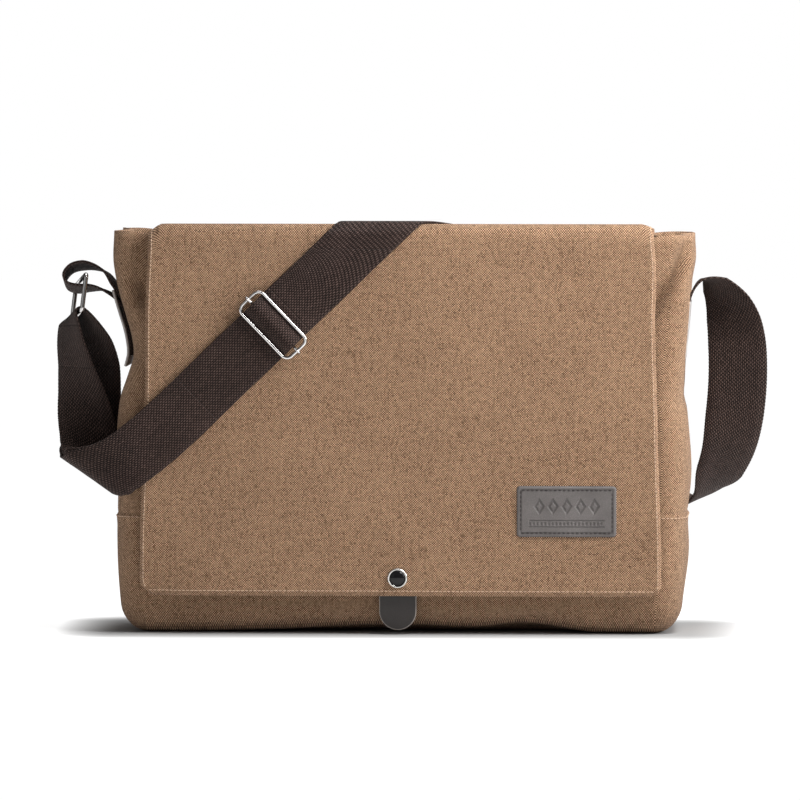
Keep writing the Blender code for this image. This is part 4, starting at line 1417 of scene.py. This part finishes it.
def stitches(name, lines, pitch, length, radius, finish):
    """Rows of stitches. Each line is a list of (point, outward) with millimetres between its points."""
    points, faces = [], []
    sides, rings = 6, 5
    for line in lines:
        distance = running_lengths([point for point, _ in line])
        for k in range(int(distance[-1] / pitch)):
            middle = (k + 0.5) * pitch
            start = len(points)
            for ring in range(rings):
                t = ring / (rings - 1)
                want = min(max(middle + (t - 0.5) * length, 0), distance[-1])
                i = min(int(np.searchsorted(distance, want, side="right")) - 1, len(line) - 2)
                share = (want - distance[i]) / (distance[i + 1] - distance[i])
                place = line[i][0].lerp(line[i + 1][0], share)
                out = line[i][1].lerp(line[i + 1][1], share).normalized()
                along = (line[i + 1][0] - line[i][0]).normalized()
                aside = along.cross(out)
                thick = radius * (0.45 + 0.55 * math.sin(math.pi * (0.12 + 0.76 * t)))
                lift = radius * (math.sin(math.pi * t) * 0.9 - 0.35)
                for side in range(sides):
                    angle = 2 * math.pi * side / sides
                    up = out * (lift + thick * math.sin(angle))
                    points.append(place + up + aside * thick * math.cos(angle))
            for ring in range(rings - 1):
                for side in range(sides):
                    a, b = start + ring * sides + side, start + ring * sides + (side + 1) % sides
                    faces.append((a, b, b + sides, a + sides))
            faces.append([start + side for side in range(sides)][::-1])
            faces.append([start + (rings - 1) * sides + side for side in range(sides)])
    mesh = mesh_of(name, points, faces)
    mesh.materials.append(finish)
    print(name, len(faces) // (sides * (rings - 1) + 2), "stitches")
    return link(name, mesh)


# %% [markdown]
# The flap has one row just inside its sides and hem, the patch a running stitch inside its rim, and
# the seams over the boot one row under the lap.

# %% Stitches on the flap


def flap_side_line(way, first, last, inset):
    """A row down one side of the flap."""
    line = []
    for k in range(121):
        s = first + (last - first) * k / 120
        level = flap_path(s, 0)[0].y if s > ROOF_MIDDLE else RIM
        edge = flap_left(level) if way < 0 else flap_right(level)
        here = flap_point(s, way * (1 - inset / edge), 0)
        _, out = flap_path(s, 0)
        line.append((here, Vector((0, out.x, out.y)).normalized()))
    return line


def hem_line(inset):
    """A row along the hem."""
    line = []
    for k in range(161):
        across = -0.985 + 1.97 * k / 160
        line.append((flap_point(FLAP_LENGTH - inset, across, 0), Vector((0, -1, 0))))
    return line


front_rows = [flap_side_line(way, ROOF_MIDDLE + 1, FLAP_LENGTH - 3.5, 2.2) for way in (-1, 1)]
front_rows.append(hem_line(3.2))
flap_thread = stitches("flap_front_stitches", front_rows, 2.7, 2.0, 0.34, tan_thread)
bend_flap(flap_thread, "front")
rear_rows = [flap_side_line(way, 3, ROOF_MIDDLE - 1, 2.2) for way in (-1, 1)]
for s in (2.5, 20.0):
    rear_rows.append([
        (flap_point(s, -0.98 + 1.96 * k / 120, 0), Vector((0, 1, 0))) for k in range(121)
    ])
rear_thread = stitches("flap_rear_stitches", rear_rows, 2.7, 2.0, 0.34, tan_thread)
bend_flap(rear_thread, "rear")


def patch_rows():
    """A running stitch round the patch."""
    w, h = PATCH_HALF_W - 2.6, PATCH_HALF_H - 2.6
    corners = [(-w, -h), (w, -h), (w, h), (-w, h), (-w, -h)]
    rows = []
    for (x0, z0), (x1, z1) in zip(corners, corners[1:]):
        row = []
        for k in range(21):
            x, z = PATCH_X + x0 + (x1 - x0) * k / 20, PATCH_Z + z0 + (z1 - z0) * k / 20
            row.append((Vector((x, flap_face_y(x, z) - PATCH_THICK + 0.1, z)), Vector((0, -1, 0))))
        rows.append(row)
    return rows


patch_thread = stitches("patch_stitches", patch_rows(), 2.9, 2.0, 0.4, dark_thread)
settle(patch_thread, "leather", "flap_front")


def boot_rows():
    """Topstitching under the seam, round both gussets and back behind the flap."""
    rows = []
    count = len(STATIONS)
    order = list(range(count - 12, count)) + list(range(0, 46))
    for offset in (0, 1):
        row = []
        for k in order:
            j = (k + offset * 114) % count
            here, near = skin(STATIONS[j], SEAM - 2.4, 0), skin(STATIONS[j], SEAM - 1.0, 0)
            _, _, nx, ny = STATIONS[j]
            row.append((here + Vector((nx, ny, 0)) * 0.1, Vector((nx, ny, 0))))
        rows.append(row)
    return rows


boot_thread = stitches("boot_stitches", boot_rows(), 2.9, 2.1, 0.3, tan_thread)
settle(boot_thread, "canvas", "bag")

# %% [markdown]
# ## Studio
# A pale floor, a small key close above the flap, a broad light from the right, a weak fill from the
# left, one overhead, and a dim even sky that the camera sees as white.

# %% Floor
floor_finish = Finish("studio_floor", roughness=0.9, specular_ior_level=0.1, emission_strength=1.0)
floor_place = floor_finish.place()
parts = [floor_finish.node("ShaderNodeSeparateXYZ", {}, {0: floor_place}, k) for k in range(2)]
far = (parts[0] * parts[0] + parts[1] * parts[1]).ramp(0.45**2, 0.85**2)
beside, behind = (parts[0].size() - 0.18).ramp(0, 1), (parts[1].size() - 0.045).ramp(0, 1)
near = (beside * beside + behind * behind).ramp(0.004**2, 0.045**2)
glow = floor_finish.tint(near, (0, 0, 0), (0.85, 0.85, 0.85))
glow = floor_finish.tint(far, glow, (1, 1, 1))
floor_finish.feed(floor_finish.shader.inputs["Emission Color"], glow)
floor_white = floor_finish.done(floor_finish.tint(far, (0.4, 0.4, 0.4), (0, 0, 0)))
FLOOR_HALF = 6000.0
corners = ((-1, -1), (1, -1), (1, 1), (-1, 1))
floor_points = [(x * FLOOR_HALF, y * FLOOR_HALF, 0) for x, y in corners]
floor = link("floor", mesh_of("floor", floor_points, [(0, 1, 2, 3)]))
floor.data.materials.append(floor_white)

# %% Lights


def soft_light(name, place, size, power):
    """A square light aimed at the middle of the bag."""
    data = bpy.data.lights.new(name, "AREA")
    data.size = size
    data.energy = power
    made = bpy.data.objects.new(name, data)
    made.location = place
    made.rotation_euler = (Vector((0, 0, 0.13)) - Vector(place)).to_track_quat("-Z", "Y").to_euler()
    bpy.context.scene.collection.objects.link(made)


soft_light("key", (0.36, -0.3, 0.64), 0.28, 4.2)
soft_light("side", (1.3, -0.3, 0.7), 0.7, 18)
soft_light("fill", (-1.9, -1.9, 1.0), 1.6, 3)
soft_light("top", (0.1, 0.1, 2.3), 1.4, 22)
world = bpy.data.worlds.new("studio")
bpy.context.scene.world = world
world.use_nodes = True
sky = world.node_tree.nodes["Background"]
sky.inputs["Color"].default_value = (1, 1, 1, 1)
rays = world.node_tree.nodes.new("ShaderNodeLightPath")
level = world.node_tree.nodes.new("ShaderNodeMapRange")
level.inputs["To Min"].default_value = 0.15
level.inputs["To Max"].default_value = 1.0
world.node_tree.links.new(rays.outputs["Is Camera Ray"], level.inputs["Value"])
world.node_tree.links.new(level.outputs[0], sky.inputs["Strength"])
bpy.context.scene.view_settings.view_transform = "Standard"
